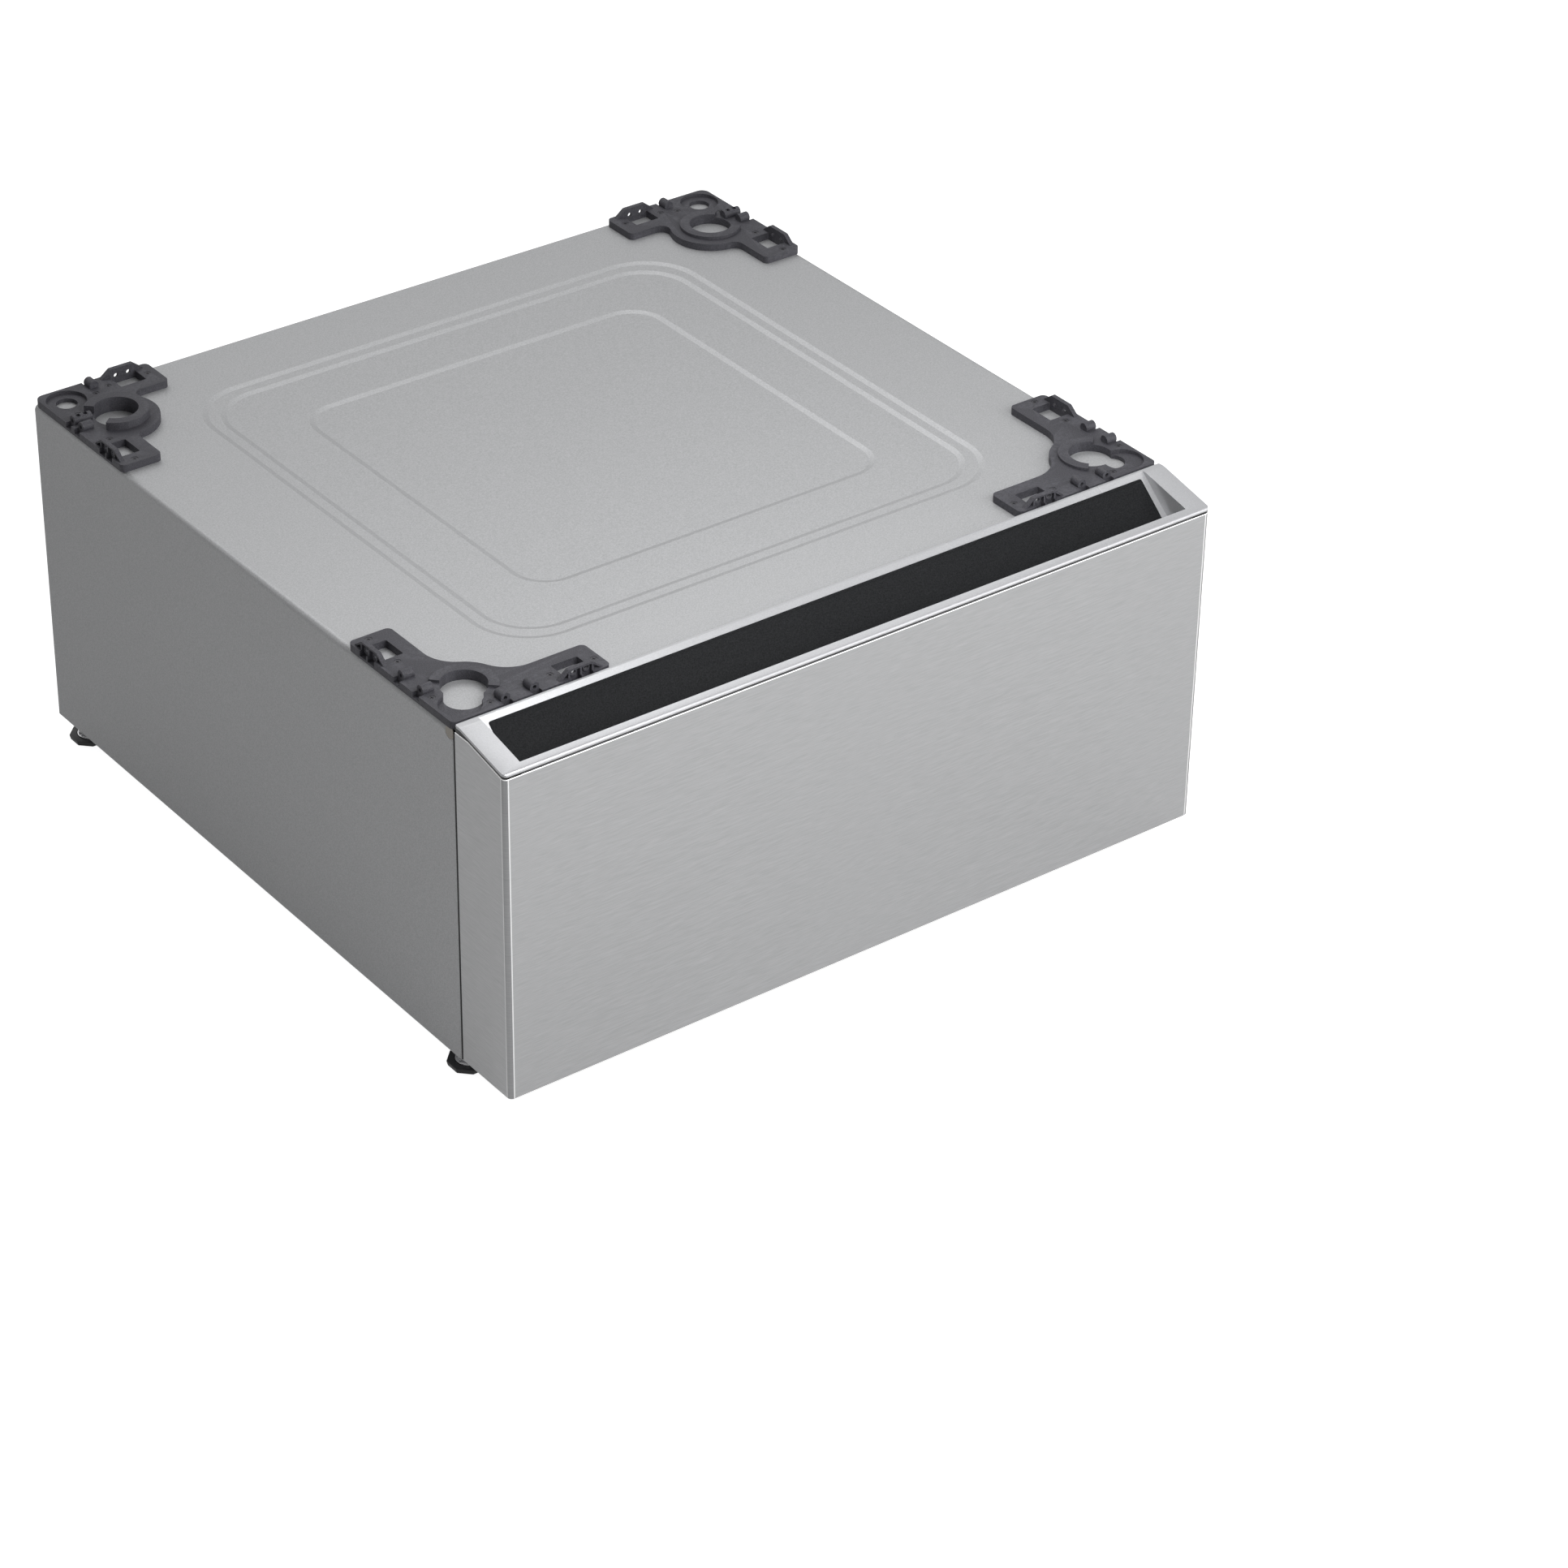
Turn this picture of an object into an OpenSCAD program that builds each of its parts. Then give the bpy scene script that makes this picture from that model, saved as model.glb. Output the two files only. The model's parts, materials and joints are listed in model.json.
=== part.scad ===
// Pedestal with a storage drawer that lifts a front-loading washer off the floor.
// Frame: +Z up, +X to the right seen from the front, the drawer opens towards -Y.
// The origin is on the floor, under the middle of the closed pedestal. Lengths are millimetres.

/* [Overall] */
// Overall width, across the outside of the cabinet sheet
pedestal_w = 686; // [620:1:760]
// Overall depth, from the drawer's steel front to the back panel
pedestal_d = 690; // [640:1:760]
// Height of the cabinet sheet, from its bottom edge to the top deck
cabinet_h = 301; // [270:1:360]
// Height of the cabinet's bottom edge above the floor
cabinet_lift = 21; // [20:0.5:30]

/* [Cabinet sheet] */
// Thickness of the painted sheet
sheet_t = 1; // [0.8:0.1:1.5]
// Outer radius of the bend between the sides and the deck
deck_bend_r = 5; // [3:0.5:10]
// Outer radius of the bends along the front edges of the sides
front_bend_r = 2.5; // [2:0.25:4]
// Width of the return flanges round the front and back openings
flange_w = 17; // [10:0.5:20]
// Height of the return flange under the deck's front edge
deck_flange_h = 12; // [6:0.5:20]
// Drop of each of the three steps stamped into the deck
step_drop = 1.2; // [0.6:0.1:2.5]
// Width of the sloping wall of each step
step_wall_w = 5; // [3:0.5:8]
// Distance from the deck's sides to the outermost stamped outline
step_side_rim = 97; // [80:1:110]
// Distance from the deck's front and back edges to the outermost stamped outline
step_end_rim = 67.25; // [60:0.25:80]
// Distance that the second outline stands in from the first, at the sides and at the ends
step_side_in2 = 13; // [10:0.5:20]
step_end_in2 = 13.5; // [10:0.5:20]
// Distance that the third outline stands in from the second, at the sides and at the ends
step_side_in3 = 57; // [40:0.5:70]
step_end_in3 = 55.5; // [40:0.5:70]
// Corner radii of the three stamped outlines
step_r1 = 54; // [40:1:80]
step_r2 = 47; // [35:1:70]
step_r3 = 33; // [25:1:60]

/* [Back panel] */
// Distance that the back panel stands in from the sheet's rear edge
back_recess = 3; // [2.5:0.25:8]
// Width of each upright bead pressed into the back panel
bead_w = 26; // [16:1:40]
// Depth of the pressed beads
bead_depth = 3; // [1.5:0.5:5]
// Height of the pressed beads
bead_h = 190; // [120:1:220]
// Number of pressed beads
bead_count = 5; // [3:1:6]

/* [Base and posts] */
// Thickness of the steel of the base frame and the posts
frame_t = 1.5; // [1.2:0.1:2.5]
// Height of the base frame's outer wall
base_wall_h = 30; // [20:1:34]
// Width of the base frame's bottom flange
base_flange_w = 42; // [36:1:50]
// Height of the lip along the inner edge of the bottom flange
base_lip_h = 12; // [6:1:20]
// Distance that the slide posts stand in from the cabinet sides
post_reach = 16; // [12:0.5:16]
// Width of each slide post along the depth of the cabinet
post_w = 32; // [24:1:40]
// Height of the cross rail under the deck
top_rail_h = 24; // [16:1:28]
// Depth of the cross rail under the deck
top_rail_d = 18; // [12:1:30]

/* [Levelling legs] */
// Inset of each leg's axis from the cabinet's sides, front and back
leg_inset = 18.5; // [17:0.5:24]
// Width of the eight-sided foot across its flats, at its underside
foot_flats = 31.5; // [26:0.5:33]
// Distance that the foot's sides lean out from the underside to the top
foot_lean = 1; // [0:0.1:1.5]
// Height of the foot
foot_h = 4.5; // [4:0.1:8]
// Radius of the round well in the top of the foot
foot_well_r = 11.2; // [10:0.1:12]
// Depth of the well in the foot
foot_well_depth = 1.5; // [1:0.25:3]
// Thickness of the stud's dished flange, which sits in the well
flange_dish_t = 2.2; // [1.5:0.1:3]
// Radius of the threaded stud
stud_r = 5; // [4:0.5:6]
// Length of the stud above the foot's well
stud_l = 52.7; // [40:0.1:60]
// Clearance between a stud and the holes that it runs in
stud_clear = 0.06; // [0.03:0.01:0.1]
// Distance across the flats of the hexagon nuts and the stud's hexagon
nut_flats = 15.5; // [14:0.5:17]
// Height of a lock nut
lock_nut_h = 4.5; // [3.5:0.5:5]
// Height of the welded nut inside the cabinet
weld_nut_h = 8; // [6:0.5:10]
// Thickness of the plate that carries the welded nut
leg_plate_t = 3; // [2:0.5:4]

/* [Drawer front] */
// Depth of the drawer front
front_d = 64.5; // [58:0.5:72]
// Gap between the closed drawer front and the cabinet
front_gap = 2; // [2:0.25:4]
// Height of the drawer front's bottom edge above the cabinet's bottom edge
front_raise = 1; // [0:0.5:6]
// Thickness of the brushed steel skin
skin_t = 0.8; // [0.6:0.1:1.2]
// Outer radius of the skin's upright corners
skin_corner_r = 4; // [2.5:0.5:8]
// Width of the skin's folded edge along the bottom
skin_hem_w = 16; // [8:1:24]
// Thickness of the moulded inner panel
panel_t = 2.5; // [2:0.25:4]
// Depth of the inner panel's rim and ribs
panel_rim_d = 12; // [6:1:20]

/* [Handle] */
// Height of the handle bezel's back edge above the deck
bezel_rise = 6.8; // [5:0.1:9]
// Drop of the bezel from its back edge to its front lip
bezel_drop = 12.2; // [9:0.1:16]
// Depth of the level strip along the bezel's back edge
bezel_flat_d = 7; // [4:0.5:12]
// Height of the bezel's edge
bezel_edge_h = 3.6; // [2.5:0.1:5]
// Shadow gap between the bezel and the steel skin
bezel_reveal = 0.9; // [0.6:0.1:1.5]
// Radius of the bezel's back corners
bezel_back_r = 3; // [1:0.5:6]
// Wall thickness of the bezel and its finger pocket
bezel_wall = 2.5; // [2:0.25:3]
// Radius of the front lip
lip_r = 2.2; // [1:0.1:3]
// Width of the grip bar in front of the finger opening
grip_w = 7.6; // [6:0.2:12]
// Distance from each end of the bezel to the finger opening
pocket_inset = 19.5; // [12:0.5:40]
// Distance from the bezel's back edge to the finger opening
pocket_back = 3; // [3:0.25:8]
// Slope of the finger ramp, in degrees below level
ramp_angle = 40; // [35:1:44]
// Margin of silver round the dark insert on the ramp
insert_margin = 5.5; // [3:0.5:10]
// Radius of the insert's corners
insert_corner_r = 2; // [1:0.25:4]
// Distance from the insert's back edge to the fine groove along it
insert_groove_d = 2.3; // [1.5:0.1:4]
// Thickness of the dark insert
insert_t = 1.2; // [0.8:0.1:2]

/* [Drawer box] */
// Thickness of the drawer's sheet steel
tray_t = 1.2; // [0.8:0.1:2]
// Height of the drawer's underside above the cabinet's bottom edge
tray_raise = 40; // [38:1:50]
// Height of the drawer's walls
tray_h = 222; // [180:1:224]
// Depth of the drawer box behind the drawer front
tray_d = 552; // [510:1:580]
// Width of the rolled rim along the tops of the walls
tray_rim_w = 8; // [5:0.5:10]
// Width of each bead pressed into the drawer's bottom
tray_bead_w = 22; // [12:1:30]
// Height of those beads
tray_bead_h = 2; // [1:0.25:4]
// Number of beads pressed into the drawer's bottom
tray_bead_count = 6; // [4:1:8]
// Height of the fold round the drawer's bottom
tray_fold_h = 12; // [8:1:20]

/* [Slides] */
// Length of each slide when closed
slide_l = 500; // [460:5:520]
// Height of the slide's axis above the drawer's underside
slide_raise = 60; // [40:1:100]
// Overall thickness of a slide
slide_t = 12.7; // [12.7:0.1:14]
// Height of a slide's outer member
slide_h = 45.6; // [44:0.1:50]
// Thickness of the slide members
slide_wall = 1.2; // [1:0.1:1.3]
// Radius of the slide balls
ball_r = 2; // [1.8:0.05:2.1]
// Clearance round the balls
ball_clear = 0.15; // [0.1:0.01:0.2]
// Depth of the races that the balls run in
race_depth = 0.45; // [0.3:0.05:0.5]
// Thickness of the ball cages
cage_t = 0.7; // [0.5:0.1:0.8]
// Length of each ball cage
cage_l = 240; // [160:10:260]
// Number of balls along each edge of a cage
ball_count = 9; // [5:1:12]

/* [Corner plates] */
// Thickness of the moulded corner plates
plate_t = 6.5; // [5.5:0.25:9]
// Length of the arms along the cabinet's sides, and of the front plates' other arms
arm_l = 143.5; // [138:0.5:160]
// Length of the rear plates' arms along the back
rear_arm_l = 107; // [104:0.5:120]
// Width of the arms
arm_w = 37.5; // [35:0.5:42]
// Radii of the bulges round the front and rear foot rings
bulge_r = 34; // [32:0.5:36]
rear_bulge_r = 36; // [34:0.5:38]
// Radii of the hollow curves between the arms and the bulges, in front and behind
hollow_r = 30; // [20:1:36]
rear_hollow_r = 8; // [5:0.5:12]
// Inner radius of the foot rings
ring_r = 18.5; // [17:0.5:19]
// Width of the rings' rims
ring_w = 8.5; // [6:0.5:10]
// Height of the front foot rings above their plates
front_ring_h = 2.4; // [1.5:0.1:4]
// Heights of the rear left and the rear right foot ring above their plates
rear_ring_h = 6.8; // [4:0.1:8]
rear_right_ring_h = 2.8; // [1.5:0.1:8]
// Angles over which the front and rear rings are open, in degrees
front_ring_gap = 180; // [150:5:220]
rear_ring_gap = 84; // [60:2:88]
// Places of the foot rings' axes, from the cabinet's side and from its front or back
front_ring_x = 36.5; // [35:0.5:40]
front_ring_y = 40; // [38:0.5:42]
rear_ring_x = 40.5; // [38:0.5:42]
rear_ring_y = 65; // [63:0.5:68]
// Radius of the round wells near the corners
well_r = 17; // [15:0.5:17.5]
// Depth of those wells below the plate's top
well_depth = 3; // [2:0.25:4]
// Place of a well's axis, from the cabinet's side and from its front or back
well_inset = 19.5; // [18.5:0.5:21]
// Radius of the drain hole in the rear wells
drain_r = 9; // [7:0.5:10]
// Radius of the lobe that joins the front left ring to its well
left_lobe_r = 15.5; // [13:0.5:16]
// Radius of the lobe that joins the front right ring to its well
right_lobe_r = 11.5; // [10:0.5:13]
// Length and width of the windows beside the ears
window_l = 24; // [20:0.5:26]
window_w = 19; // [16:0.5:20]
// Thickness of the ears
ear_t = 4; // [3:0.5:5]
// Thickness of an ear's inner wall, its top and its ribs
ear_wall_t = 1.5; // [1.2:0.1:2]
// Height of the ears above the plates
ear_h = 7.2; // [5:0.1:8]
// Length of an ear's level top
ear_top_l = 21.5; // [19:0.5:24]
// Radius of the two bolt holes in each ear
ear_hole_r = 2; // [1.5:0.1:2.5]
// Distance between the two bolt holes
ear_hole_pitch = 11.8; // [11:0.1:14]
// Outer radius of the horizontal screw sockets
socket_r = 4.2; // [3.5:0.1:4.6]
// Length of the screw sockets
socket_l = 10; // [8:0.5:12]
// Radius of the pilot hole in each socket
pilot_r = 1.7; // [1.2:0.1:2]

/* [Small parts] */
// Radius of the heads of the corner plates' screws
plate_screw_head_r = 2.9; // [2.5:0.1:3.3]
// Radius of the shanks of the sheet metal screws
screw_shank_r = 1.6; // [1.2:0.1:1.8]
// Radius of the pan heads of the sheet metal screws
pan_head_r = 4; // [3.5:0.1:4.5]
// Height of the pan heads
pan_head_h = 2; // [1.5:0.1:2.5]
// Radius of the beige plugs at the top of the cabinet's front edges
plug_r = 5.6; // [4.5:0.1:6.5]
// Radius of the rubber bumpers behind the drawer front
bumper_r = 5; // [4:0.25:6]

/* [Hidden] */
$fn = 48;

paint = [0.50, 0.50, 0.51];
zinc = [0.62, 0.62, 0.60];
charcoal = [0.33, 0.33, 0.35];
steel = [0.70, 0.70, 0.71];
silver = [0.80, 0.80, 0.81];
dark = [0.15, 0.16, 0.17];
black = [0.12, 0.12, 0.13];
beige = [0.66, 0.62, 0.56];
rubber = [0.10, 0.10, 0.10];

// One overrun serves every cut, so that no cut ends on a face
cut = 2;
// Clearance between neighbours that only lie against each other
seat = 0.3;
// Clearance round a screw or plug in its hole
fit = 0.1;
// Height of the thin slices that the stamped steps are drawn between
slice = 0.01;

half_w = pedestal_w / 2;
front_y = -pedestal_d / 2;
back_y = pedestal_d / 2;
cab_y = front_y + front_d + front_gap;
shell_d = back_y - cab_y;
back_face_y = back_y - back_recess;
flange_y = back_face_y - 2 * sheet_t;
deck_z = cabinet_lift + cabinet_h;
front_z = cabinet_lift + front_raise;
step_w1 = pedestal_w - 2 * step_side_rim;
step_w2 = step_w1 - 2 * step_side_in2;
step_w3 = step_w2 - 2 * step_side_in3;
step_d1 = shell_d - 2 * step_end_rim;
step_d2 = step_d1 - 2 * step_end_in2;
step_d3 = step_d2 - 2 * step_end_in3;
panel_y = front_y + front_d;

// The bottom of the base frame and the faces that others stand on
base_top = cabinet_lift + frame_t;
inner_w = half_w - sheet_t;

// Straight outlines with their corners rounded by an arc of steps + 1 points
function unit(v) = v / norm(v);
function corner_arc(a, p, b, r, steps) =
    let(
        u = unit(a - p),
        v = unit(b - p),
        half = acos(u * v) / 2,
        c = p + unit(u + v) * r / sin(half),
        t0 = p + u * r / tan(half) - c,
        t1 = p + v * r / tan(half) - c,
        a0 = atan2(t0.y, t0.x),
        turn = atan2(t0.x * t1.y - t0.y * t1.x, t0 * t1)
    )
    r == 0 ? [p] : [for (i = [0 : steps]) c + r * [cos(a0 + turn * i / steps), sin(a0 + turn * i / steps)]];
function rounded(points, radii, steps = 6) =
    let(n = len(points))
    [for (i = [0 : n - 1])
        each corner_arc(points[(i + n - 1) % n], points[i], points[(i + 1) % n], radii[i], steps)];

// A flat rectangle about the origin with round corners
module rounded_rect(w, d, r) {
    square([w - 2 * r, d], center = true);
    square([w, d - 2 * r], center = true);
    for (sx = [-1, 1], sy = [-1, 1])
        translate([sx * (w / 2 - r), sy * (d / 2 - r)])
            circle(r);
}

// A round-ended slot about the origin, l long overall
module slot_shape(l, w) {
    square([l - w, w], center = true);
    for (s = [-1, 1])
        translate([s * (l - w) / 2, 0])
            circle(w / 2);
}

// Stands a profile drawn in depth and height along the width, centred on x = 0
module along_x(l) rotate([90, 0, 90]) linear_extrude(l, center = true) children();
// Runs a profile drawn in width and height back from y = 0
module along_y(l) translate([0, l, 0]) rotate([90, 0, 0]) linear_extrude(l) children();
// Places what is drawn for the right side on the side that is asked for
module on_side(side) mirror([side < 0 ? 1 : 0, 0, 0]) children();
// Copies what is drawn for the right side onto both sides
module both_sides() for (side = [-1, 1]) on_side(side) children();

// A corner's own frame on the deck: x runs in from the cabinet's side, y in from its front or back
module at_corner(side, end) {
    translate([side * half_w, end < 0 ? cab_y : back_y, deck_z])
        mirror([side > 0 ? 1 : 0, 0, 0])
            mirror([0, end > 0 ? 1 : 0, 0])
                children();
}

module hexagon(h, flats) cylinder(h = h, r = flats / sqrt(3), $fn = 6);

// Cabinet sheet

// The space inside the cabinet's outline, shrunk by inset on every side but the bottom
module cabinet_block(inset) {
    r_deck = deck_bend_r - inset;
    r_front = front_bend_r - inset;
    w = half_w - inset;
    top = deck_z - inset;
    intersection() {
        translate([0, cab_y + inset, 0])
            along_y(shell_d + cut)
                union() {
                    translate([-w, cabinet_lift - cut])
                        square([2 * w, top - r_deck - cabinet_lift + cut]);
                    translate([r_deck - w, cabinet_lift])
                        square([2 * (w - r_deck), top - cabinet_lift]);
                    for (s = [-1, 1])
                        translate([s * (w - r_deck), top - r_deck])
                            circle(r_deck);
                }
        linear_extrude(top + cut)
            union() {
                translate([-w, cab_y + inset + r_front])
                    square([2 * w, shell_d + cut]);
                translate([r_front - w, cab_y + inset])
                    square([2 * (w - r_front), shell_d]);
                for (s = [-1, 1])
                    translate([s * (w - r_front), cab_y + inset + r_front])
                        circle(r_front);
            }
    }
}

// One stamped step: its outline at the top, drawn in by the sloping wall at the bottom
module step_form(w, d, r, level) {
    translate([0, (cab_y + back_y) / 2, deck_z - level * step_drop])
        hull() {
            linear_extrude(slice)
                rounded_rect(w, d, r, $fn = 64);
            translate([0, 0, -step_drop])
                linear_extrude(slice)
                    rounded_rect(w - 2 * step_wall_w, d - 2 * step_wall_w, r - step_wall_w, $fn = 64);
        }
}

// The space that the three stamped steps leave above the deck
module deck_relief() {
    step_form(step_w1, step_d1, step_r1, 0);
    step_form(step_w2, step_d2, step_r2, 1);
    step_form(step_w3, step_d3, step_r3, 2);
}

module cabinet_shell() color(paint) {
    opening_w = 2 * (half_w - flange_w);
    difference() {
        union() {
            difference() {
                cabinet_block(0);
                cabinet_block(sheet_t);
                translate([-half_w - cut, cab_y - cut, 0])
                    cube([pedestal_w + 2 * cut, shell_d + 2 * cut, cabinet_lift]);
                translate([-half_w - cut, back_y, 0])
                    cube([pedestal_w + 2 * cut, 2 * cut, deck_z + cut]);
            }
            back_flanges();
            translate([0, 0, -sheet_t])
                deck_relief();
        }
        deck_relief();
        translate([-opening_w / 2, cab_y - cut, cabinet_lift - cut])
            cube([opening_w, sheet_t + 2 * cut, cabinet_h - deck_flange_h + cut]);
        both_sides()
            plug_seat(plug_r);
        corner_pilots();
        for (p = back_screws())
            translate([p.x, flange_y - cut, p.y])
                rotate([-90, 0, 0])
                    cylinder(h = sheet_t + 2 * cut, r = screw_shank_r + fit);
    }
}

// Flanges that the back panel is screwed to
module back_flanges() {
    both_sides()
        translate([inner_w - flange_w, flange_y, cabinet_lift])
            cube([flange_w + sheet_t / 2, sheet_t, cabinet_h - deck_bend_r]);
    translate([flange_w / 2 - inner_w, flange_y, deck_z - deck_flange_h])
        cube([2 * inner_w - flange_w, sheet_t, deck_flange_h - sheet_t / 2]);
}

// Round seat of the plug in the side, where the deck's bend meets the cabinet's front edge
module plug_seat(r) {
    translate([inner_w - cut, cab_y + 0.9 * plug_r, deck_z - 0.8 * deck_bend_r])
        rotate([0, 90, 0])
            cylinder(h = sheet_t + 2 * cut, r = r);
}

// Pilot holes in the deck under the corner plates' screws
module corner_pilots() {
    for (side = [-1, 1], end = [-1, 1])
        at_corner(side, end)
            for (p = plate_screws(end))
                translate([p.x, p.y, -sheet_t - cut])
                    cylinder(h = sheet_t + 2 * cut, r = screw_shank_r + fit);
}

module side_plugs() color(beige)
    both_sides()
        intersection() {
            plug_seat(plug_r - fit);
            translate([inner_w, cab_y + seat, 0])
                cube([sheet_t, shell_d, deck_z]);
        }

// Back panel

back_w = 2 * (inner_w - seat);
back_h = cabinet_h - 2 * sheet_t;
bead_pitch = back_w / (bead_count + 1);
// Places of the screws across half the width and up the height
back_screw_shares = [[-0.975, 0.06], [-0.975, 0.5], [-0.975, 0.9], [0.975, 0.06], [0.975, 0.5], [0.975, 0.9]];

function back_screws() =
    [for (s = back_screw_shares) [s.x * half_w, cabinet_lift + s.y * cabinet_h]];

// The upright beads, w wide and l high, from the panel's back face to a depth in front of it
module bead_row(w, l, depth) {
    for (i = [1 : bead_count])
        translate([i * bead_pitch - back_w / 2, back_face_y - depth, cabinet_lift + cabinet_h / 2])
            rotate([-90, 90, 0])
                linear_extrude(depth)
                    slot_shape(l, w);
}

module back_panel() color(zinc)
    difference() {
        union() {
            translate([0, back_face_y - sheet_t, cabinet_lift + back_h / 2])
                along_y(sheet_t)
                    rounded_rect(back_w, back_h, deck_bend_r);
            bead_row(bead_w, bead_h, bead_depth + sheet_t);
        }
        translate([0, cut, 0])
            bead_row(bead_w - 2 * sheet_t, bead_h - 2 * sheet_t, bead_depth + cut);
        for (p = back_screws())
            translate([p.x, back_face_y - sheet_t - cut, p.y])
                rotate([-90, 0, 0])
                    cylinder(h = sheet_t + 2 * cut, r = screw_shank_r + fit);
    }

// A pan-head screw along +Z whose head rests on z = 0, with its shank below
module pan_screw(l) {
    difference() {
        union() {
            cylinder(h = pan_head_h, r1 = pan_head_r, r2 = pan_head_r - pan_head_h / 2);
            translate([0, 0, -l])
                cylinder(h = l + pan_head_h / 2, r = screw_shank_r);
        }
        driver_cross(pan_head_h, pan_head_r);
    }
}

// The crossed driver slots in a screw head of height h and radius r
module driver_cross(h, r) {
    for (a = [0, 90])
        rotate(a)
            translate([-r / 2, -r / 8, h / 2])
                cube([r, r / 4, h]);
}

module back_panel_screws() color(steel)
    for (p = back_screws())
        translate([p.x, back_face_y, p.y])
            rotate([-90, 0, 0])
                pan_screw(2 * sheet_t);

// Base frame, posts and rail

base_y0 = cab_y + sheet_t;
base_d = flange_y - base_y0;
base_mid_y = base_y0 + base_d / 2;

// A rectangular ring on the cabinet's floor plan, its outer side stepped in by outset
module base_ring(outset, wall) {
    difference() {
        rounded_rect(2 * (inner_w - outset), base_d - 2 * outset, front_bend_r);
        square([2 * (inner_w - outset - wall), base_d - 2 * (outset + wall)], center = true);
    }
}

module base_frame() color(zinc)
    difference() {
        translate([0, base_mid_y, cabinet_lift]) {
            linear_extrude(frame_t)
                base_ring(0, base_flange_w);
            linear_extrude(base_wall_h)
                base_ring(0, frame_t);
            linear_extrude(base_lip_h)
                base_ring(base_flange_w - frame_t, frame_t);
        }
        at_legs()
            translate([0, 0, cabinet_lift - cut])
                cylinder(h = frame_t + 2 * cut, r = stud_r + stud_clear);
    }

leg_x = half_w - leg_inset;
leg_front_y = cab_y + leg_inset;
leg_back_y = back_y - leg_inset;

// Copies what is drawn on a leg's axis onto all four legs
module at_legs() {
    for (side = [-1, 1], y = [leg_front_y, leg_back_y])
        translate([side * leg_x, y, 0])
            children();
}

// The square plate under a welded nut fills the base frame's corner between its wall and its lip
leg_plate_w = base_flange_w - 2 * (frame_t + seat);
leg_plate_y0 = base_y0 + frame_t;
leg_plate_y1 = flange_y - frame_t - leg_plate_w;

module leg_plates() color(steel)
    difference() {
        both_sides()
            for (y = [leg_plate_y0, leg_plate_y1])
                translate([inner_w - frame_t - leg_plate_w, y, base_top])
                    cube([leg_plate_w, leg_plate_w, leg_plate_t]);
        at_legs()
            translate([0, 0, base_top - cut])
                cylinder(h = leg_plate_t + 2 * cut, r = stud_r + stud_clear);
    }

// Four hexagon nuts on the legs' axes, standing on height z
module leg_nuts(z, h) {
    at_legs()
        translate([0, 0, z])
            difference() {
                hexagon(h, nut_flats);
                translate([0, 0, -cut])
                    cylinder(h = h + 2 * cut, r = stud_r + stud_clear);
            }
}

module weld_nuts() color(steel) leg_nuts(base_top + leg_plate_t, weld_nut_h);
module lock_nuts() color(steel) leg_nuts(cabinet_lift - lock_nut_h, lock_nut_h);

post_face_x = inner_w - post_reach;
post_z0 = cabinet_lift + base_wall_h + 4 * frame_t;
post_h = deck_z - deck_bend_r - post_z0;
slide_y0 = cab_y + slide_wall * 6;
rear_post_y = slide_y0 + slide_l - post_w - slide_wall * 6;

// Screws that hold a slide: two in each post, above and below the slide's axis
slide_z = cabinet_lift + tray_raise + slide_raise;
slide_screw_dz = slide_h / 5;
function post_centres() = [base_y0 + post_w / 2, rear_post_y + post_w / 2];

// A channel-shaped post that stands in from the cabinet's side, its web facing the drawer.
// Its outer corners are cut off, so that it stands clear of the inside of the sheet's bend.
module slide_post(y) {
    c = front_bend_r - sheet_t / 2;
    translate([post_face_x, y, post_z0])
        linear_extrude(post_h)
            difference() {
                polygon([
                    [0, 0], [post_reach - c, 0], [post_reach, c],
                    [post_reach, post_w - c], [post_reach - c, post_w], [0, post_w]]);
                translate([frame_t, frame_t])
                    square([post_reach, post_w - 2 * frame_t]);
            }
}

module slide_posts() {
    difference() {
        union() {
            slide_post(base_y0);
            slide_post(rear_post_y);
        }
        for (y = post_centres(), s = [-1, 1])
            translate([post_face_x - cut, y, slide_z + s * slide_screw_dz])
                rotate([0, 90, 0])
                    cylinder(h = frame_t + 2 * cut, r = screw_shank_r + fit);
    }
}

module left_slide_posts() color(zinc) on_side(-1) slide_posts();
module right_slide_posts() color(zinc) on_side(1) slide_posts();

module top_rail() color(zinc)
    translate([0, base_y0, deck_z - sheet_t - top_rail_h])
        along_x(2 * post_face_x)
            difference() {
                square([top_rail_d, top_rail_h]);
                translate([frame_t, -cut])
                    square([top_rail_d - 2 * frame_t, top_rail_h - frame_t + cut]);
            }

// Levelling legs

foot_well_z = foot_h - foot_well_depth;

module foot() color(black)
    difference() {
        rotate(180 / 8)
            cylinder(h = foot_h, r1 = foot_flats / 2 / cos(180 / 8),
                r2 = (foot_flats / 2 + foot_lean) / cos(180 / 8), $fn = 8);
        translate([0, 0, foot_well_z])
            cylinder(h = foot_well_depth + cut, r = foot_well_r);
        translate([0, 0, foot_well_z / 2])
            cylinder(h = foot_h, r = stud_r + stud_clear);
    }

module stud() color(steel) {
    rim = flange_dish_t / 2;
    translate([0, 0, foot_well_z])
        difference() {
            cylinder(h = flange_dish_t, r = foot_well_r - seat);
            translate([0, 0, rim])
                cylinder(h = flange_dish_t, r = foot_well_r - seat - rim);
        }
    translate([0, 0, foot_well_z])
        hexagon(rim + lock_nut_h, nut_flats);
    translate([0, 0, foot_well_z / 2])
        cylinder(h = foot_well_z / 2 + stud_l, r = stud_r);
}

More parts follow.
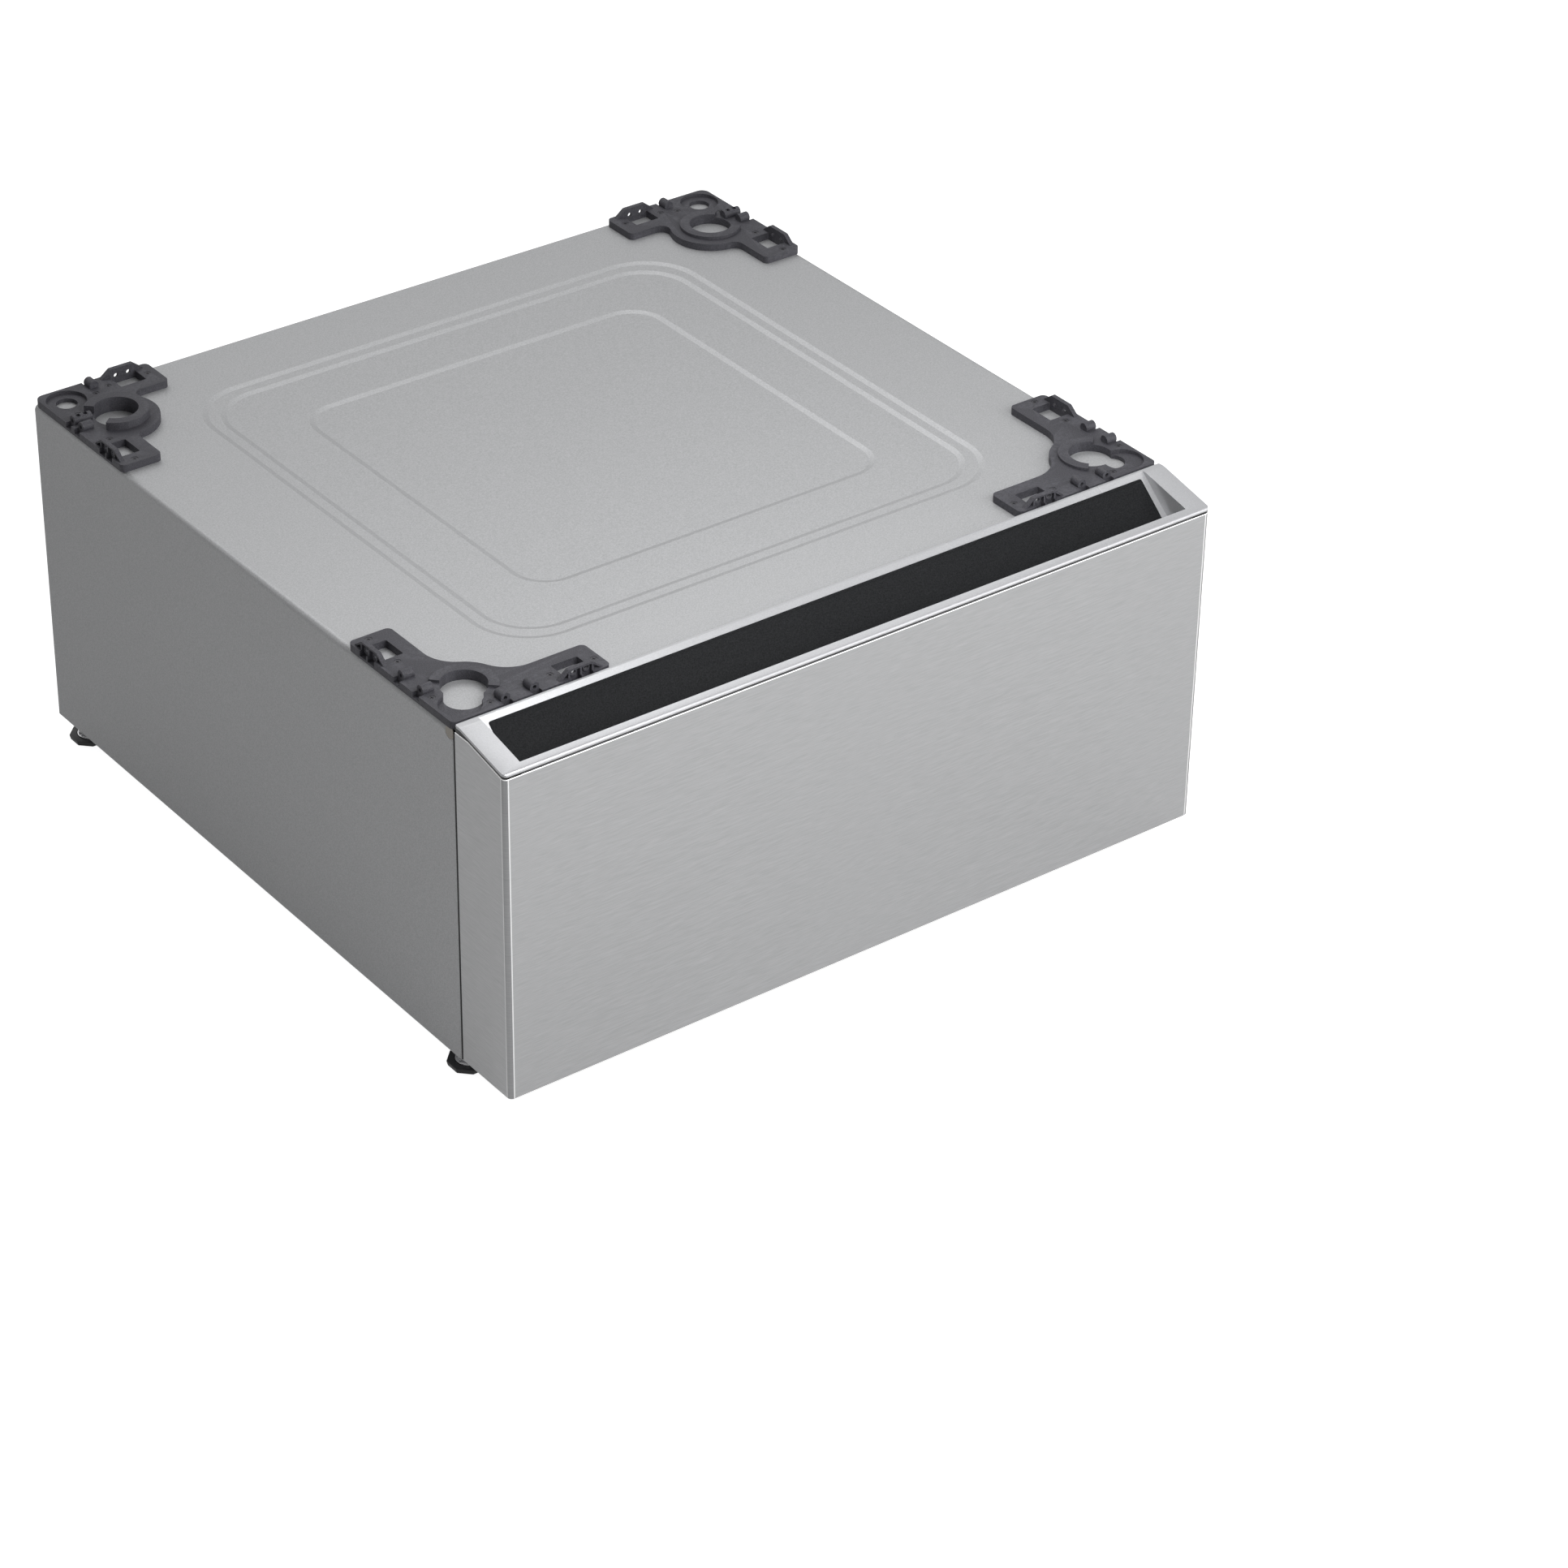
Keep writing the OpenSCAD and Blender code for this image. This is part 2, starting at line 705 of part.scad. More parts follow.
module front_left_foot() translate([-leg_x, leg_front_y, 0]) foot();
module front_right_foot() translate([leg_x, leg_front_y, 0]) foot();
module rear_left_foot() translate([-leg_x, leg_back_y, 0]) foot();
module rear_right_foot() translate([leg_x, leg_back_y, 0]) foot();
module front_left_stud() translate([-leg_x, leg_front_y, 0]) stud();
module front_right_stud() translate([leg_x, leg_front_y, 0]) stud();
module rear_left_stud() translate([-leg_x, leg_back_y, 0]) stud();
module rear_right_stud() translate([leg_x, leg_back_y, 0]) stud();

// Corner plates, drawn in the corner's own frame with the deck at z = 0

plate_corner_r = arm_w / 8;
rear_corner_r = arm_w / 5;
// Centres of the windows along the front and side arms, and along the rear arms
window_share = 0.815;
rear_window_share = 0.75;
// Centres of the sockets along the arms of the front plates
socket_shares = [0.348, 0.53];
rear_socket_share = 0.458;
rear_side_socket_share = 0.49;
// Centre of the clip's socket behind the rear side socket
clip_share = 0.396;
// Screws: shares of the arm's width across and of its length along
arm_screw_shares = [[0.4, 0.96], [0.4, 0.68]];
rear_arm_screw_shares = [[0.44, 0.92], [0.45, 0.565]];
// Screws near the corner, in shares of the arm's width
corner_screw_shares = [[0.2, 1.05], [1.05, 0.23]];
rear_corner_screw_shares = [[0.41, 1.23], [1.22, 0.6]];

function flip(p) = [p.y, p.x];
function side_arm_screws() = [for (s = arm_screw_shares) [s.x * arm_w, s.y * arm_l]];
function plate_screws(end) =
    end < 0
        ? concat(side_arm_screws(), [for (p = side_arm_screws()) flip(p)],
            [for (s = corner_screw_shares) s * arm_w])
        : concat(side_arm_screws(), [for (s = rear_arm_screw_shares) [s.y * rear_arm_l, s.x * arm_w]],
            [for (s = rear_corner_screw_shares) s * arm_w]);

// Swaps the two directions along the deck, so that a thing along one arm lies along the other
module turned() mirror([1, -1, 0]) children();

// Centre of the hollow curve of radius h that joins an arm along x to the bulge of radius r round c
function hollow_centre(c, r, h) =
    let(up = arm_w + h - c.y)
    [c.x + sqrt((r + h) * (r + h) - up * up), arm_w + h];
// Direction from c to the point where that curve meets the bulge, in degrees
function hollow_turn(c, r, h) = let(m = hollow_centre(c, r, h) - c) atan2(m.y, m.x);
// Points of that curve, from the arm's edge to the bulge
curve_steps = 8;
function hollow_curve(c, r, h) =
    let(m = hollow_centre(c, r, h), turn = 90 - hollow_turn(c, r, h))
    [for (i = [0 : curve_steps]) m - h * [sin(turn * i / curve_steps), cos(turn * i / curve_steps)]];
// The inner edge of a plate: a hollow curve, the bulge and the other hollow curve
function inner_edge(c, r, h) =
    let(
        t = hollow_turn(c, r, h),
        turn = 90 - hollow_turn(flip(c), r, h) - t,
        last = hollow_curve(flip(c), r, h)
    )
    concat(
        hollow_curve(c, r, h),
        [for (i = [1 : 2 * curve_steps - 1], a = [t + turn * i / 2 / curve_steps]) c + r * [cos(a), sin(a)]],
        [for (i = [curve_steps : -1 : 0]) flip(last[i])]);

// Outline of a plate with arms of lengths lx and ly and round corners, corner_r at the cabinet's corner
module plate_outline(lx, ly, corner_r, edge) {
    r = plate_corner_r;
    polygon(rounded(
        concat([[0, 0], [lx, 0], [lx, arm_w]], edge, [[arm_w, ly], [0, ly]]),
        concat([corner_r, r, r], [for (p = edge) 0], [r, r])));
}

// Directions in a corner's frame, in degrees
to_side = 180;
to_corner = 225;

// A rim round a foot ring, open over gap degrees about the direction dir
module foot_ring(x, y, h, dir, gap) {
    far = 2 * (ring_r + ring_w);
    translate([x, y, 0])
        linear_extrude(plate_t + h)
            difference() {
                circle(ring_r + ring_w);
                circle(ring_r);
                polygon([[0, 0], far * [cos(dir - gap / 2), sin(dir - gap / 2)], far * [cos(dir), sin(dir)],
                    far * [cos(dir + gap / 2), sin(dir + gap / 2)]]);
            }
}

// Height of the bolt holes above the top of the plate, in the front ears and in the others
front_hole_dz = 0.45 * ear_h;
other_hole_dz = 0.08 * ear_h;
ear_boss_h = 0.25 * ear_t;
// The ears stand in from the plate's edge. Their inner face is flush with the window's edge.
ear_y = ear_t / 2;
window_y = ear_y + ear_t;
// How far the sloping ends of an ear reach along the plate
ear_run = 1.3 * ear_h;

// An upright ear near the plate's outer edge, centred on x = at
module ear(at) {
    top = plate_t + ear_h;
    foot = ear_top_l / 2 + ear_run;
    translate([at, window_y, 0])
        rotate([90, 0, 0])
            linear_extrude(ear_t)
                polygon(rounded(
                    [[-foot, plate_t / 2], [-foot, plate_t], [-ear_top_l / 2, top],
                        [ear_top_l / 2, top], [foot, plate_t], [foot, plate_t / 2]],
                    [0, 0, ear_h / 3, ear_h / 3, 0, 0]));
}

// The pockets in an ear's outer face: two square ones with a rib between, and one under each slope
module ear_pockets(at) {
    w = ear_wall_t;
    top = plate_t + ear_h - w;
    side = (ear_top_l - w) / 2;
    fall = ear_h / ear_run;
    slope_z = top - (side + w - ear_top_l / 2) * fall - w / 4;
    translate([at, window_y - w, 0])
        rotate([90, 0, 0])
            linear_extrude(window_y + cut)
                for (m = [0, 1])
                    mirror([m, 0]) {
                        polygon(rounded(
                            [[w / 2, plate_t / 3], [side, plate_t / 3], [side, top], [w / 2, top]],
                            [0, 0, w, 0]));
                        polygon([[side + w, plate_t], [side + w + (slope_z - plate_t) / fall, plate_t],
                            [side + w, slope_z]]);
                    }
}

// Two cylinders on the axes of an ear's bolt holes, from y0 through its inner face
module ear_bores(at, hole_dz, y0, r) {
    for (s = [-1, 1])
        translate([at + s * ear_hole_pitch / 2, y0, plate_t + hole_dz])
            rotate([-90, 0, 0])
                cylinder(h = window_y + cut - y0, r = r);
}

// The window beside an ear, the ear's pockets with a boss round each bolt hole, and the holes
module ear_cuts(at, hole_dz) {
    translate([at, window_y + window_w / 2, -cut])
        linear_extrude(plate_t + 2 * cut)
            rounded_rect(window_l, window_w, ear_t / 4);
    difference() {
        ear_pockets(at);
        ear_bores(at, hole_dz, window_y - ear_wall_t - ear_boss_h, 1.6 * ear_hole_r);
    }
    ear_bores(at, hole_dz, -cut, ear_hole_r);
}

socket_y = ear_t;
socket_z = plate_t + socket_r / 2;

// A horizontal screw socket that opens towards the plate's outer edge
module socket(at) {
    translate([at, socket_y, socket_z])
        rotate([-90, 0, 0])
            cylinder(h = socket_l, r = socket_r);
}

// The socket's pilot hole and the notch in the plate's edge in front of it
module socket_cuts(at) {
    translate([at, socket_y - cut, socket_z])
        rotate([-90, 0, 0])
            cylinder(h = cut + 0.8 * socket_l, r = pilot_r);
    translate([at - socket_r, -cut, plate_t / 3])
        cube([2 * socket_r, socket_y + cut, plate_t]);
}

module plate_screw_cuts(end) {
    for (p = plate_screws(end))
        translate([p.x, p.y, -cut]) {
            cylinder(h = plate_t + 2 * cut, r = screw_shank_r + fit);
            translate([0, 0, cut + plate_t - plate_head_h])
                cylinder(h = plate_head_h + cut, r = plate_screw_head_r + fit);
        }
}

plate_head_h = plate_t / 4;

// Round seat for a washer's foot, sunk in the plate near the corner
module corner_well() {
    translate([well_inset, well_inset, plate_t - well_depth])
        cylinder(h = plate_t + rear_ring_h, r = well_r);
}

module front_corner_plate(lobe_r) color(charcoal) {
    lobe = (front_ring_x + front_ring_y) / 2 - (ring_r - lobe_r) / 2 - ring_w;
    difference() {
        union() {
            linear_extrude(plate_t)
                plate_outline(arm_l, arm_l, plate_corner_r,
                    inner_edge([front_ring_x, front_ring_y], bulge_r, hollow_r));
            foot_ring(front_ring_x, front_ring_y, front_ring_h, to_corner, front_ring_gap);
            ear(window_share * arm_l);
            turned()
                ear(window_share * arm_l);
            for (s = socket_shares) {
                socket(s * arm_l);
                turned()
                    socket(s * arm_l);
            }
        }
        translate([front_ring_x, front_ring_y, -cut])
            cylinder(h = plate_t + front_ring_h + 2 * cut, r = ring_r);
        translate([lobe, lobe, -cut])
            cylinder(h = plate_t + front_ring_h + 2 * cut, r = lobe_r);
        corner_well();
        ear_cuts(window_share * arm_l, front_hole_dz);
        turned()
            ear_cuts(window_share * arm_l, other_hole_dz);
        for (s = socket_shares) {
            socket_cuts(s * arm_l);
            turned()
                socket_cuts(s * arm_l);
        }
        plate_screw_cuts(-1);
    }
}

// A longer socket with two small windows in its top, for a cable clip
module clip_socket(at) {
    step = socket_l / 3;
    difference() {
        translate([at, socket_y, socket_z])
            rotate([-90, 0, 0])
                cylinder(h = 5 * step, r = socket_r);
        for (i = [1, 3])
            translate([at - socket_r / 2, socket_y + i * step, socket_z + socket_r / 2])
                cube([socket_r, step, socket_r]);
    }
}

module rear_corner_plate(ring_h) color(charcoal)
    difference() {
        union() {
            linear_extrude(plate_t)
                plate_outline(rear_arm_l, arm_l, rear_corner_r,
                    inner_edge([rear_ring_x, rear_ring_y], rear_bulge_r, rear_hollow_r));
            foot_ring(rear_ring_x, rear_ring_y, ring_h, to_side, rear_ring_gap);
            ear(rear_window_share * rear_arm_l);
            socket(rear_socket_share * rear_arm_l);
            turned() {
                ear(window_share * arm_l);
                socket(rear_side_socket_share * arm_l);
                clip_socket(clip_share * arm_l);
            }
        }
        translate([rear_ring_x, rear_ring_y, -cut])
            cylinder(h = plate_t + ring_h + 2 * cut, r = ring_r);
        corner_well();
        translate([well_inset, well_inset, -cut])
            cylinder(h = plate_t + 2 * cut, r = drain_r);
        ear_cuts(rear_window_share * rear_arm_l, other_hole_dz);
        socket_cuts(rear_socket_share * rear_arm_l);
        turned() {
            ear_cuts(window_share * arm_l, other_hole_dz);
            socket_cuts(rear_side_socket_share * arm_l);
            socket_cuts(clip_share * arm_l);
        }
        plate_screw_cuts(1);
    }

module front_left_corner_plate() at_corner(-1, -1) front_corner_plate(left_lobe_r);
module front_right_corner_plate() at_corner(1, -1) front_corner_plate(right_lobe_r);
module rear_left_corner_plate() at_corner(-1, 1) rear_corner_plate(rear_ring_h);
module rear_right_corner_plate() at_corner(1, 1) rear_corner_plate(rear_right_ring_h);

module corner_plate_screws() color(dark)
    for (side = [-1, 1], end = [-1, 1])
        at_corner(side, end)
            for (p = plate_screws(end))
                translate([p.x, p.y, plate_t - plate_head_h])
                    difference() {
                        union() {
                            cylinder(h = plate_head_h - seat, r = plate_screw_head_r);
                            translate([0, 0, plate_head_h - plate_t - sheet_t])
                                cylinder(h = plate_t + sheet_t - plate_head_h / 2, r = screw_shank_r);
                        }
                        driver_cross(plate_head_h - seat, plate_screw_head_r);
                    }

// Drawer slides. Across a slide, u runs from the post to the drawer wall.

tray_w = 2 * (post_face_x - slide_t);
race_r = ball_r + ball_clear;
web_gap = cage_t + 2 * ball_clear;
// Heights of the two rows of balls above and below the slide's axis
outer_ball_z = slide_h / 2 - slide_wall - race_r;
middle_top = outer_ball_z - race_r + race_depth;
middle_rim_t = slide_wall + 2 * race_depth;
inner_ball_z = middle_top - middle_rim_t + race_depth - race_r;
inner_top = inner_ball_z - race_r + race_depth;
rim_t = slide_wall + race_depth;
// Where the webs stand across the slide
middle_web_u = slide_wall + web_gap;
inner_cage_u = middle_web_u + slide_wall + ball_clear;
inner_rim_u = inner_cage_u + cage_t + ball_clear;
outer_ball_u = slide_t / 2;
inner_ball_u = slide_t * 0.66;
rim_end_u = slide_t - slide_wall - ball_clear;

// Lays a profile drawn across a slide, u and height, along the slide on the right side
module along_slide(y, l) {
    translate([post_face_x, y, slide_z])
        mirror([1, 0, 0])
            along_y(l)
                children();
}

// The rims above and below the axis: u from u0 to u1, outer face at height top
module rims(u0, u1, top, t) {
    for (s = [-1, 1])
        translate([u0, s > 0 ? top - t : -top])
            square([u1 - u0, t]);
}

module races(u, z) {
    for (s = [-1, 1])
        translate([u, s * z])
            circle(race_r);
}

module slide_outer() {
    difference() {
        along_slide(slide_y0, slide_l)
            difference() {
                union() {
                    translate([0, -slide_h / 2])
                        square([slide_wall, slide_h]);
                    rims(0, rim_end_u, slide_h / 2, rim_t);
                }
                races(outer_ball_u, outer_ball_z);
            }
        for (y = post_centres(), s = [-1, 1])
            translate([post_face_x - slide_wall - cut, y, slide_z + s * slide_screw_dz])
                rotate([0, 90, 0])
                    post_screw_hole();
    }
}

// Countersunk hole for a flat-head screw, through the slide's web
module post_screw_hole() {
    cylinder(h = slide_wall + 2 * cut, r = screw_shank_r + fit);
    cylinder(h = cut + slide_wall / 2, r = pan_head_r + fit);
}

module slide_middle() {
    along_slide(slide_y0, slide_l)
        difference() {
            union() {
                translate([middle_web_u, -middle_top])
                    square([slide_wall, 2 * middle_top]);
                rims(middle_web_u, rim_end_u, middle_top, middle_rim_t);
            }
            races(outer_ball_u, outer_ball_z);
            races(inner_ball_u, inner_ball_z);
        }
}

module slide_inner() {
    difference() {
        along_slide(slide_y0, slide_l)
            difference() {
                union() {
                    translate([slide_t - slide_wall, -inner_top])
                        square([slide_wall, 2 * inner_top]);
                    rims(inner_rim_u, slide_t, inner_top, rim_t);
                }
                races(inner_ball_u, inner_ball_z);
            }
        for (y = drawer_screw_ys())
            translate([post_face_x - slide_t - cut, y, slide_z])
                rotate([0, 90, 0])
                    cylinder(h = slide_wall + 2 * cut, r = screw_shank_r + fit);
    }
}

// Places along the slide of the screws that hold its inner member to the drawer
drawer_screw_shares = [0.08, 0.5, 0.92];
function drawer_screw_ys() = [for (s = drawer_screw_shares) slide_y0 + s * slide_l];

cage_y0 = slide_y0 + (slide_l - cage_l) / 2;
function ball_ys() = [for (i = [0 : ball_count - 1]) cage_y0 + (i + 0.5) * cage_l / ball_count];

// A ball cage: a strip along the webs with an edge through each row of balls
module cage(u0, ball_u, ball_z) {
    edge = ball_u + race_r + cage_t;
    difference() {
        along_slide(cage_y0, cage_l)
            union() {
                translate([u0, -ball_z - cage_t / 2])
                    square([cage_t, 2 * ball_z + cage_t]);
                for (s = [-1, 1])
                    translate([u0, s * ball_z - cage_t / 2])
                        square([edge - u0, cage_t]);
            }
        for (y = ball_ys(), s = [-1, 1])
            translate([post_face_x - ball_u, y, slide_z + s * ball_z - cage_t])
                cylinder(h = 2 * cage_t, r = ball_r + ball_clear / 2);
    }
}

module balls(ball_u, ball_z) {
    for (y = ball_ys(), s = [-1, 1])
        translate([post_face_x - ball_u, y, slide_z + s * ball_z])
            sphere(ball_r);
}

outer_cage_u = slide_wall + ball_clear;
module outer_cage() color(silver) cage(outer_cage_u, outer_ball_u, outer_ball_z);
module inner_cage() color(silver) cage(inner_cage_u, inner_ball_u, inner_ball_z);
module outer_balls() color(steel) balls(outer_ball_u, outer_ball_z);
module inner_balls() color(steel) balls(inner_ball_u, inner_ball_z);

module left_slide_outer() color(zinc) on_side(-1) slide_outer();
module right_slide_outer() color(zinc) on_side(1) slide_outer();
module left_slide_middle() color(steel) on_side(-1) slide_middle();
module right_slide_middle() color(steel) on_side(1) slide_middle();
module left_slide_inner() color(zinc) on_side(-1) slide_inner();
module right_slide_inner() color(zinc) on_side(1) slide_inner();
module left_outer_cage() on_side(-1) outer_cage();
module right_outer_cage() on_side(1) outer_cage();
module left_inner_cage() on_side(-1) inner_cage();
module right_inner_cage() on_side(1) inner_cage();
module left_outer_balls() on_side(-1) outer_balls();
module right_outer_balls() on_side(1) outer_balls();
module left_inner_balls() on_side(-1) inner_balls();
module right_inner_balls() on_side(1) inner_balls();

module slide_post_screws() color(steel)
    both_sides()
        for (y = post_centres(), s = [-1, 1])
            translate([post_face_x - slide_wall / 2, y, slide_z + s * slide_screw_dz])
                rotate([0, -90, 0])
                    difference() {
                        union() {
                            cylinder(h = slide_wall / 2, r = pan_head_r);
                            translate([0, 0, -post_reach / 2])
                                cylinder(h = post_reach / 2, r = screw_shank_r);
                        }
                        driver_cross(slide_wall / 2, pan_head_r);
                    }

module slide_drawer_screws() color(steel)
    both_sides()
        for (y = drawer_screw_ys())
            translate([post_face_x - slide_t + slide_wall, y, slide_z])
                rotate([0, 90, 0])
                    pan_screw(slide_wall + 3 * tray_t);

// Drawer front. Across it, d runs back from the steel front; heights are above the floor.

bezel_back_z = deck_z + bezel_rise;
bezel_front_z = bezel_back_z - bezel_drop;
bezel_slope = bezel_drop / (front_d - bezel_flat_d);
skin_inner_w = half_w - skin_t;
panel_w = 2 * (skin_inner_w - fit);

// Depth and height of the bezel's top, lowered by drop
function bezel_line(drop) = [
    [0, bezel_front_z - drop],
    [front_d - bezel_flat_d, bezel_back_z - drop],
    [front_d, bezel_back_z - drop]
];

// The space above the bezel's underside, lowered by reveal, that the skin's top edge follows
module above_bezel(reveal) {
    line = bezel_line(bezel_edge_h + reveal);
    translate([0, front_y, 0])
        along_x(2 * pedestal_w)
            polygon(concat([[-cut, line[0].y - cut * bezel_slope]], [line[1], line[2]],
                [[front_d + cut, line[2].y], [front_d + cut, line[2].y + pedestal_w],
                    [-cut, line[2].y + pedestal_w]]));
}

// Plan of the skin: a U that is open at the back
module skin_plan(inset) {
    r = skin_corner_r - inset;
    w = half_w - inset;
    translate([0, front_y + inset]) {
        translate([r - w, 0])
            square([2 * (w - r), front_d + cut]);
        translate([-w, r])
            square([2 * w, front_d - r + cut]);
        for (s = [-1, 1])
            translate([s * (w - r), r])
                circle(r);
    }
}

module front_skin() color(steel)
    difference() {
        intersection() {
            translate([0, 0, front_z])
                linear_extrude(cabinet_h)
                    skin_plan(0);
            translate([-half_w, front_y, 0])
                cube([pedestal_w, front_d, deck_z]);
        }
        translate([0, 0, front_z + skin_t])
            linear_extrude(cabinet_h)
                skin_plan(skin_t);
        translate([skin_hem_w - half_w, front_y + skin_hem_w, 0])
            cube([pedestal_w - 2 * skin_hem_w, front_d, deck_z]);
        above_bezel(bezel_reveal);
    }

// The finger pocket. Its ramp falls from the opening's back edge towards the front.
pocket_x = half_w - pocket_inset;
pocket_top = [front_d - pocket_back, bezel_back_z];
pocket_front_d = skin_t + seat + 1.4 * bezel_wall;
ramp_end_d = grip_w + bezel_wall;
ramp_end = [ramp_end_d, pocket_top.y - (pocket_top.x - ramp_end_d) * tan(ramp_angle)];
ramp_l = norm(pocket_top - ramp_end);
panel_top_z = deck_z - deck_flange_h;

// The pocket's section: the ramp, a narrow floor and the front wall under the grip bar
module pocket_section() {
    lid_z = bezel_front_z - bezel_edge_h;
    polygon(rounded(
        [[pocket_top.x, pocket_top.y + cut], pocket_top, ramp_end, [pocket_front_d, ramp_end.y],
            [pocket_front_d, lid_z], [grip_w, lid_z], [grip_w, pocket_top.y + cut]],
        [0, 0, bezel_wall, bezel_wall, 0, bezel_wall / 2, 0]));
}

// The outline of the tub whose walls stand a wall's thickness round the pocket
module tub_section() {
    p = pocket_top + bezel_wall * [sin(ramp_angle), -cos(ramp_angle)];
    floor_z = ramp_end.y - bezel_wall;
    polygon(rounded(
        [[p.x, bezel_back_z - bezel_edge_h / 2], p, [p.x - (p.y - floor_z) / tan(ramp_angle), floor_z],
            [pocket_front_d - bezel_wall, floor_z],
            [pocket_front_d - bezel_wall, bezel_front_z - bezel_edge_h / 2]],
        [0, 0, 2 * bezel_wall, bezel_wall, 0]));
}

// Draws a section of the drawer front, depth and height, along the width
module across_front(l) translate([0, front_y, 0]) along_x(l) children();

// The sloping plate of the bezel: a lip in front, a level strip along the back
module bezel_plate() {
    intersection() {
        across_front(pedestal_w)
            polygon(rounded(
                concat(bezel_line(0), [[front_d, bezel_back_z - bezel_edge_h],
                    [front_d - bezel_flat_d, bezel_back_z - bezel_edge_h], [0, bezel_front_z - bezel_edge_h]]),
                [lip_r, bezel_flat_d, bezel_edge_h / 3, 0, 0, bezel_edge_h / 6]));
        translate([0, 0, bezel_front_z - 2 * bezel_edge_h])
            linear_extrude(bezel_drop + 4 * bezel_edge_h)
                intersection() {
                    skin_plan(0);
                    translate([0, front_y])
                        rounded_rect(pedestal_w, 2 * front_d, bezel_back_r);
                }
    }
}

// A skirt under the bezel's back edge that stands on the inner panel, and one inside each end
module bezel_skirt() {
    low = bezel_line(3 * bezel_edge_h);
    translate([-panel_w / 2, panel_y - bezel_wall, panel_top_z])
        cube([panel_w, bezel_wall, bezel_back_z - bezel_edge_h / 2 - panel_top_z]);
    both_sides()
        translate([panel_w / 2 - bezel_wall / 2, 0, 0])
            intersection() {
                across_front(bezel_wall)
                    polygon(concat(bezel_line(bezel_edge_h / 2), [low[2], low[1], low[0]]));
                translate([-bezel_wall, front_y + skin_corner_r, panel_top_z])
                    cube([2 * bezel_wall, front_d, bezel_drop + 2 * bezel_edge_h]);
            }
}

// Places a thing on the ramp: y runs up the ramp to its top edge, z out into the pocket
module on_ramp() {
    translate([0, front_y + pocket_top.x, pocket_top.y])
        rotate([ramp_angle, 0, 0])
            children();
}

// The insert's plan, drawn in by inset, and its height from a depth in the ramp
module insert_block(inset, depth, h) {
    on_ramp()
        translate([0, -ramp_l / 2, -depth])
            linear_extrude(h)
                rounded_rect(2 * (pocket_x - insert_margin - inset), ramp_l - 2 * (insert_margin + inset),
                    insert_corner_r);
}

module handle_bezel() color(silver)
    difference() {
        union() {
            bezel_plate();
            bezel_skirt();
            across_front(2 * (pocket_x + bezel_wall))
                tub_section();
        }
        across_front(2 * pocket_x)
            pocket_section();
        insert_block(0, insert_t / 2, insert_t);
    }

module handle_insert() color(dark)
    difference() {
        insert_block(fit, insert_t / 2, insert_t);
        on_ramp()
            translate([0, -insert_margin - insert_groove_d, insert_t / 2])
                cube([2 * (pocket_x - insert_margin - insert_groove_d), insert_t / 2, insert_t / 2],
                    center = true);
    }

module front_inner_panel() color(black) {
    z0 = front_z + skin_t;
    h = panel_top_z - z0;
    rim_y = panel_y - panel_t - panel_rim_d;
    difference() {
        union() {
            translate([0, panel_y - panel_t, z0 + h / 2])
                along_y(panel_t)
                    square([panel_w, h], center = true);
            translate([0, rim_y, z0 + h / 2])
                along_y(panel_rim_d + panel_t / 2)
                    difference() {
                        square([panel_w, h], center = true);
                        square([panel_w - 2 * panel_t, h - 2 * panel_t], center = true);
                    }
            for (x = rib_shares * panel_w / 2)
                translate([x - panel_t / 2, rim_y, z0])
                    cube([panel_t, panel_rim_d + panel_t / 2, h]);
        }
        across_front(2 * (pocket_x + bezel_wall + seat))
            offset(delta = seat)
                tub_section();
        for (p = front_screw_places())
            translate([p.x, panel_y - panel_t - cut, p.y])
                rotate([-90, 0, 0])
                    cylinder(h = panel_t + 2 * cut, r = screw_shank_r + fit);
    }
}

// Places of the inner panel's upright ribs, of the screws that join the drawer box to it and of the bumpers
rib_shares = [-0.8, -0.4, 0, 0.4, 0.8];
front_screw_shares = [[-0.9, 0.08], [-0.45, 0.08], [0.45, 0.08], [0.9, 0.08],
    [-0.9, 0.92], [-0.45, 0.92], [0.45, 0.92], [0.9, 0.92]];
function front_screw_places() = [for (s = front_screw_shares) [s.x * tray_w / 2, tray_z + s.y * tray_h]];

module drawer_bumpers() color(rubber)
    for (s = [-1, 1], z = [tray_z, panel_top_z - 2 * bumper_r])
        translate([s * (half_w - flange_w / 2), panel_y, z])
            rotate([-90, 0, 0])
                cylinder(h = front_gap - seat, r = bumper_r);

// Drawer box

tray_z = cabinet_lift + tray_raise;
tray_inner_w = tray_w - 2 * tray_t;
tray_bead_pitch = tray_inner_w / (tray_bead_count + 1);
tray_bead_l = tray_d - 4 * tray_bead_w;

// The beads pressed up in the drawer's bottom, w wide and l long
module tray_beads(w, l, z, h) {
    for (i = [1 : tray_bead_count])
        translate([i * tray_bead_pitch - tray_inner_w / 2, panel_y + tray_d / 2, z])
            linear_extrude(h)
                rotate(90)
                    slot_shape(l, w);
}

// The bottom: a pan with a low fold all round and pressed beads
module drawer_bottom() color(zinc)
    difference() {
        translate([-tray_inner_w / 2, panel_y + tray_t, tray_z])
            cube([tray_inner_w, tray_d - 2 * tray_t, tray_fold_h]);
        difference() {
            translate([tray_t - tray_inner_w / 2, panel_y + 2 * tray_t, tray_z + tray_t])
                cube([tray_inner_w - 2 * tray_t, tray_d - 4 * tray_t, tray_fold_h]);
            tray_beads(tray_bead_w, tray_bead_l, tray_z, tray_t + tray_bead_h);
        }
        tray_beads(tray_bead_w - 2 * tray_t, tray_bead_l - 2 * tray_t, tray_z - cut, tray_bead_h + cut);
    }

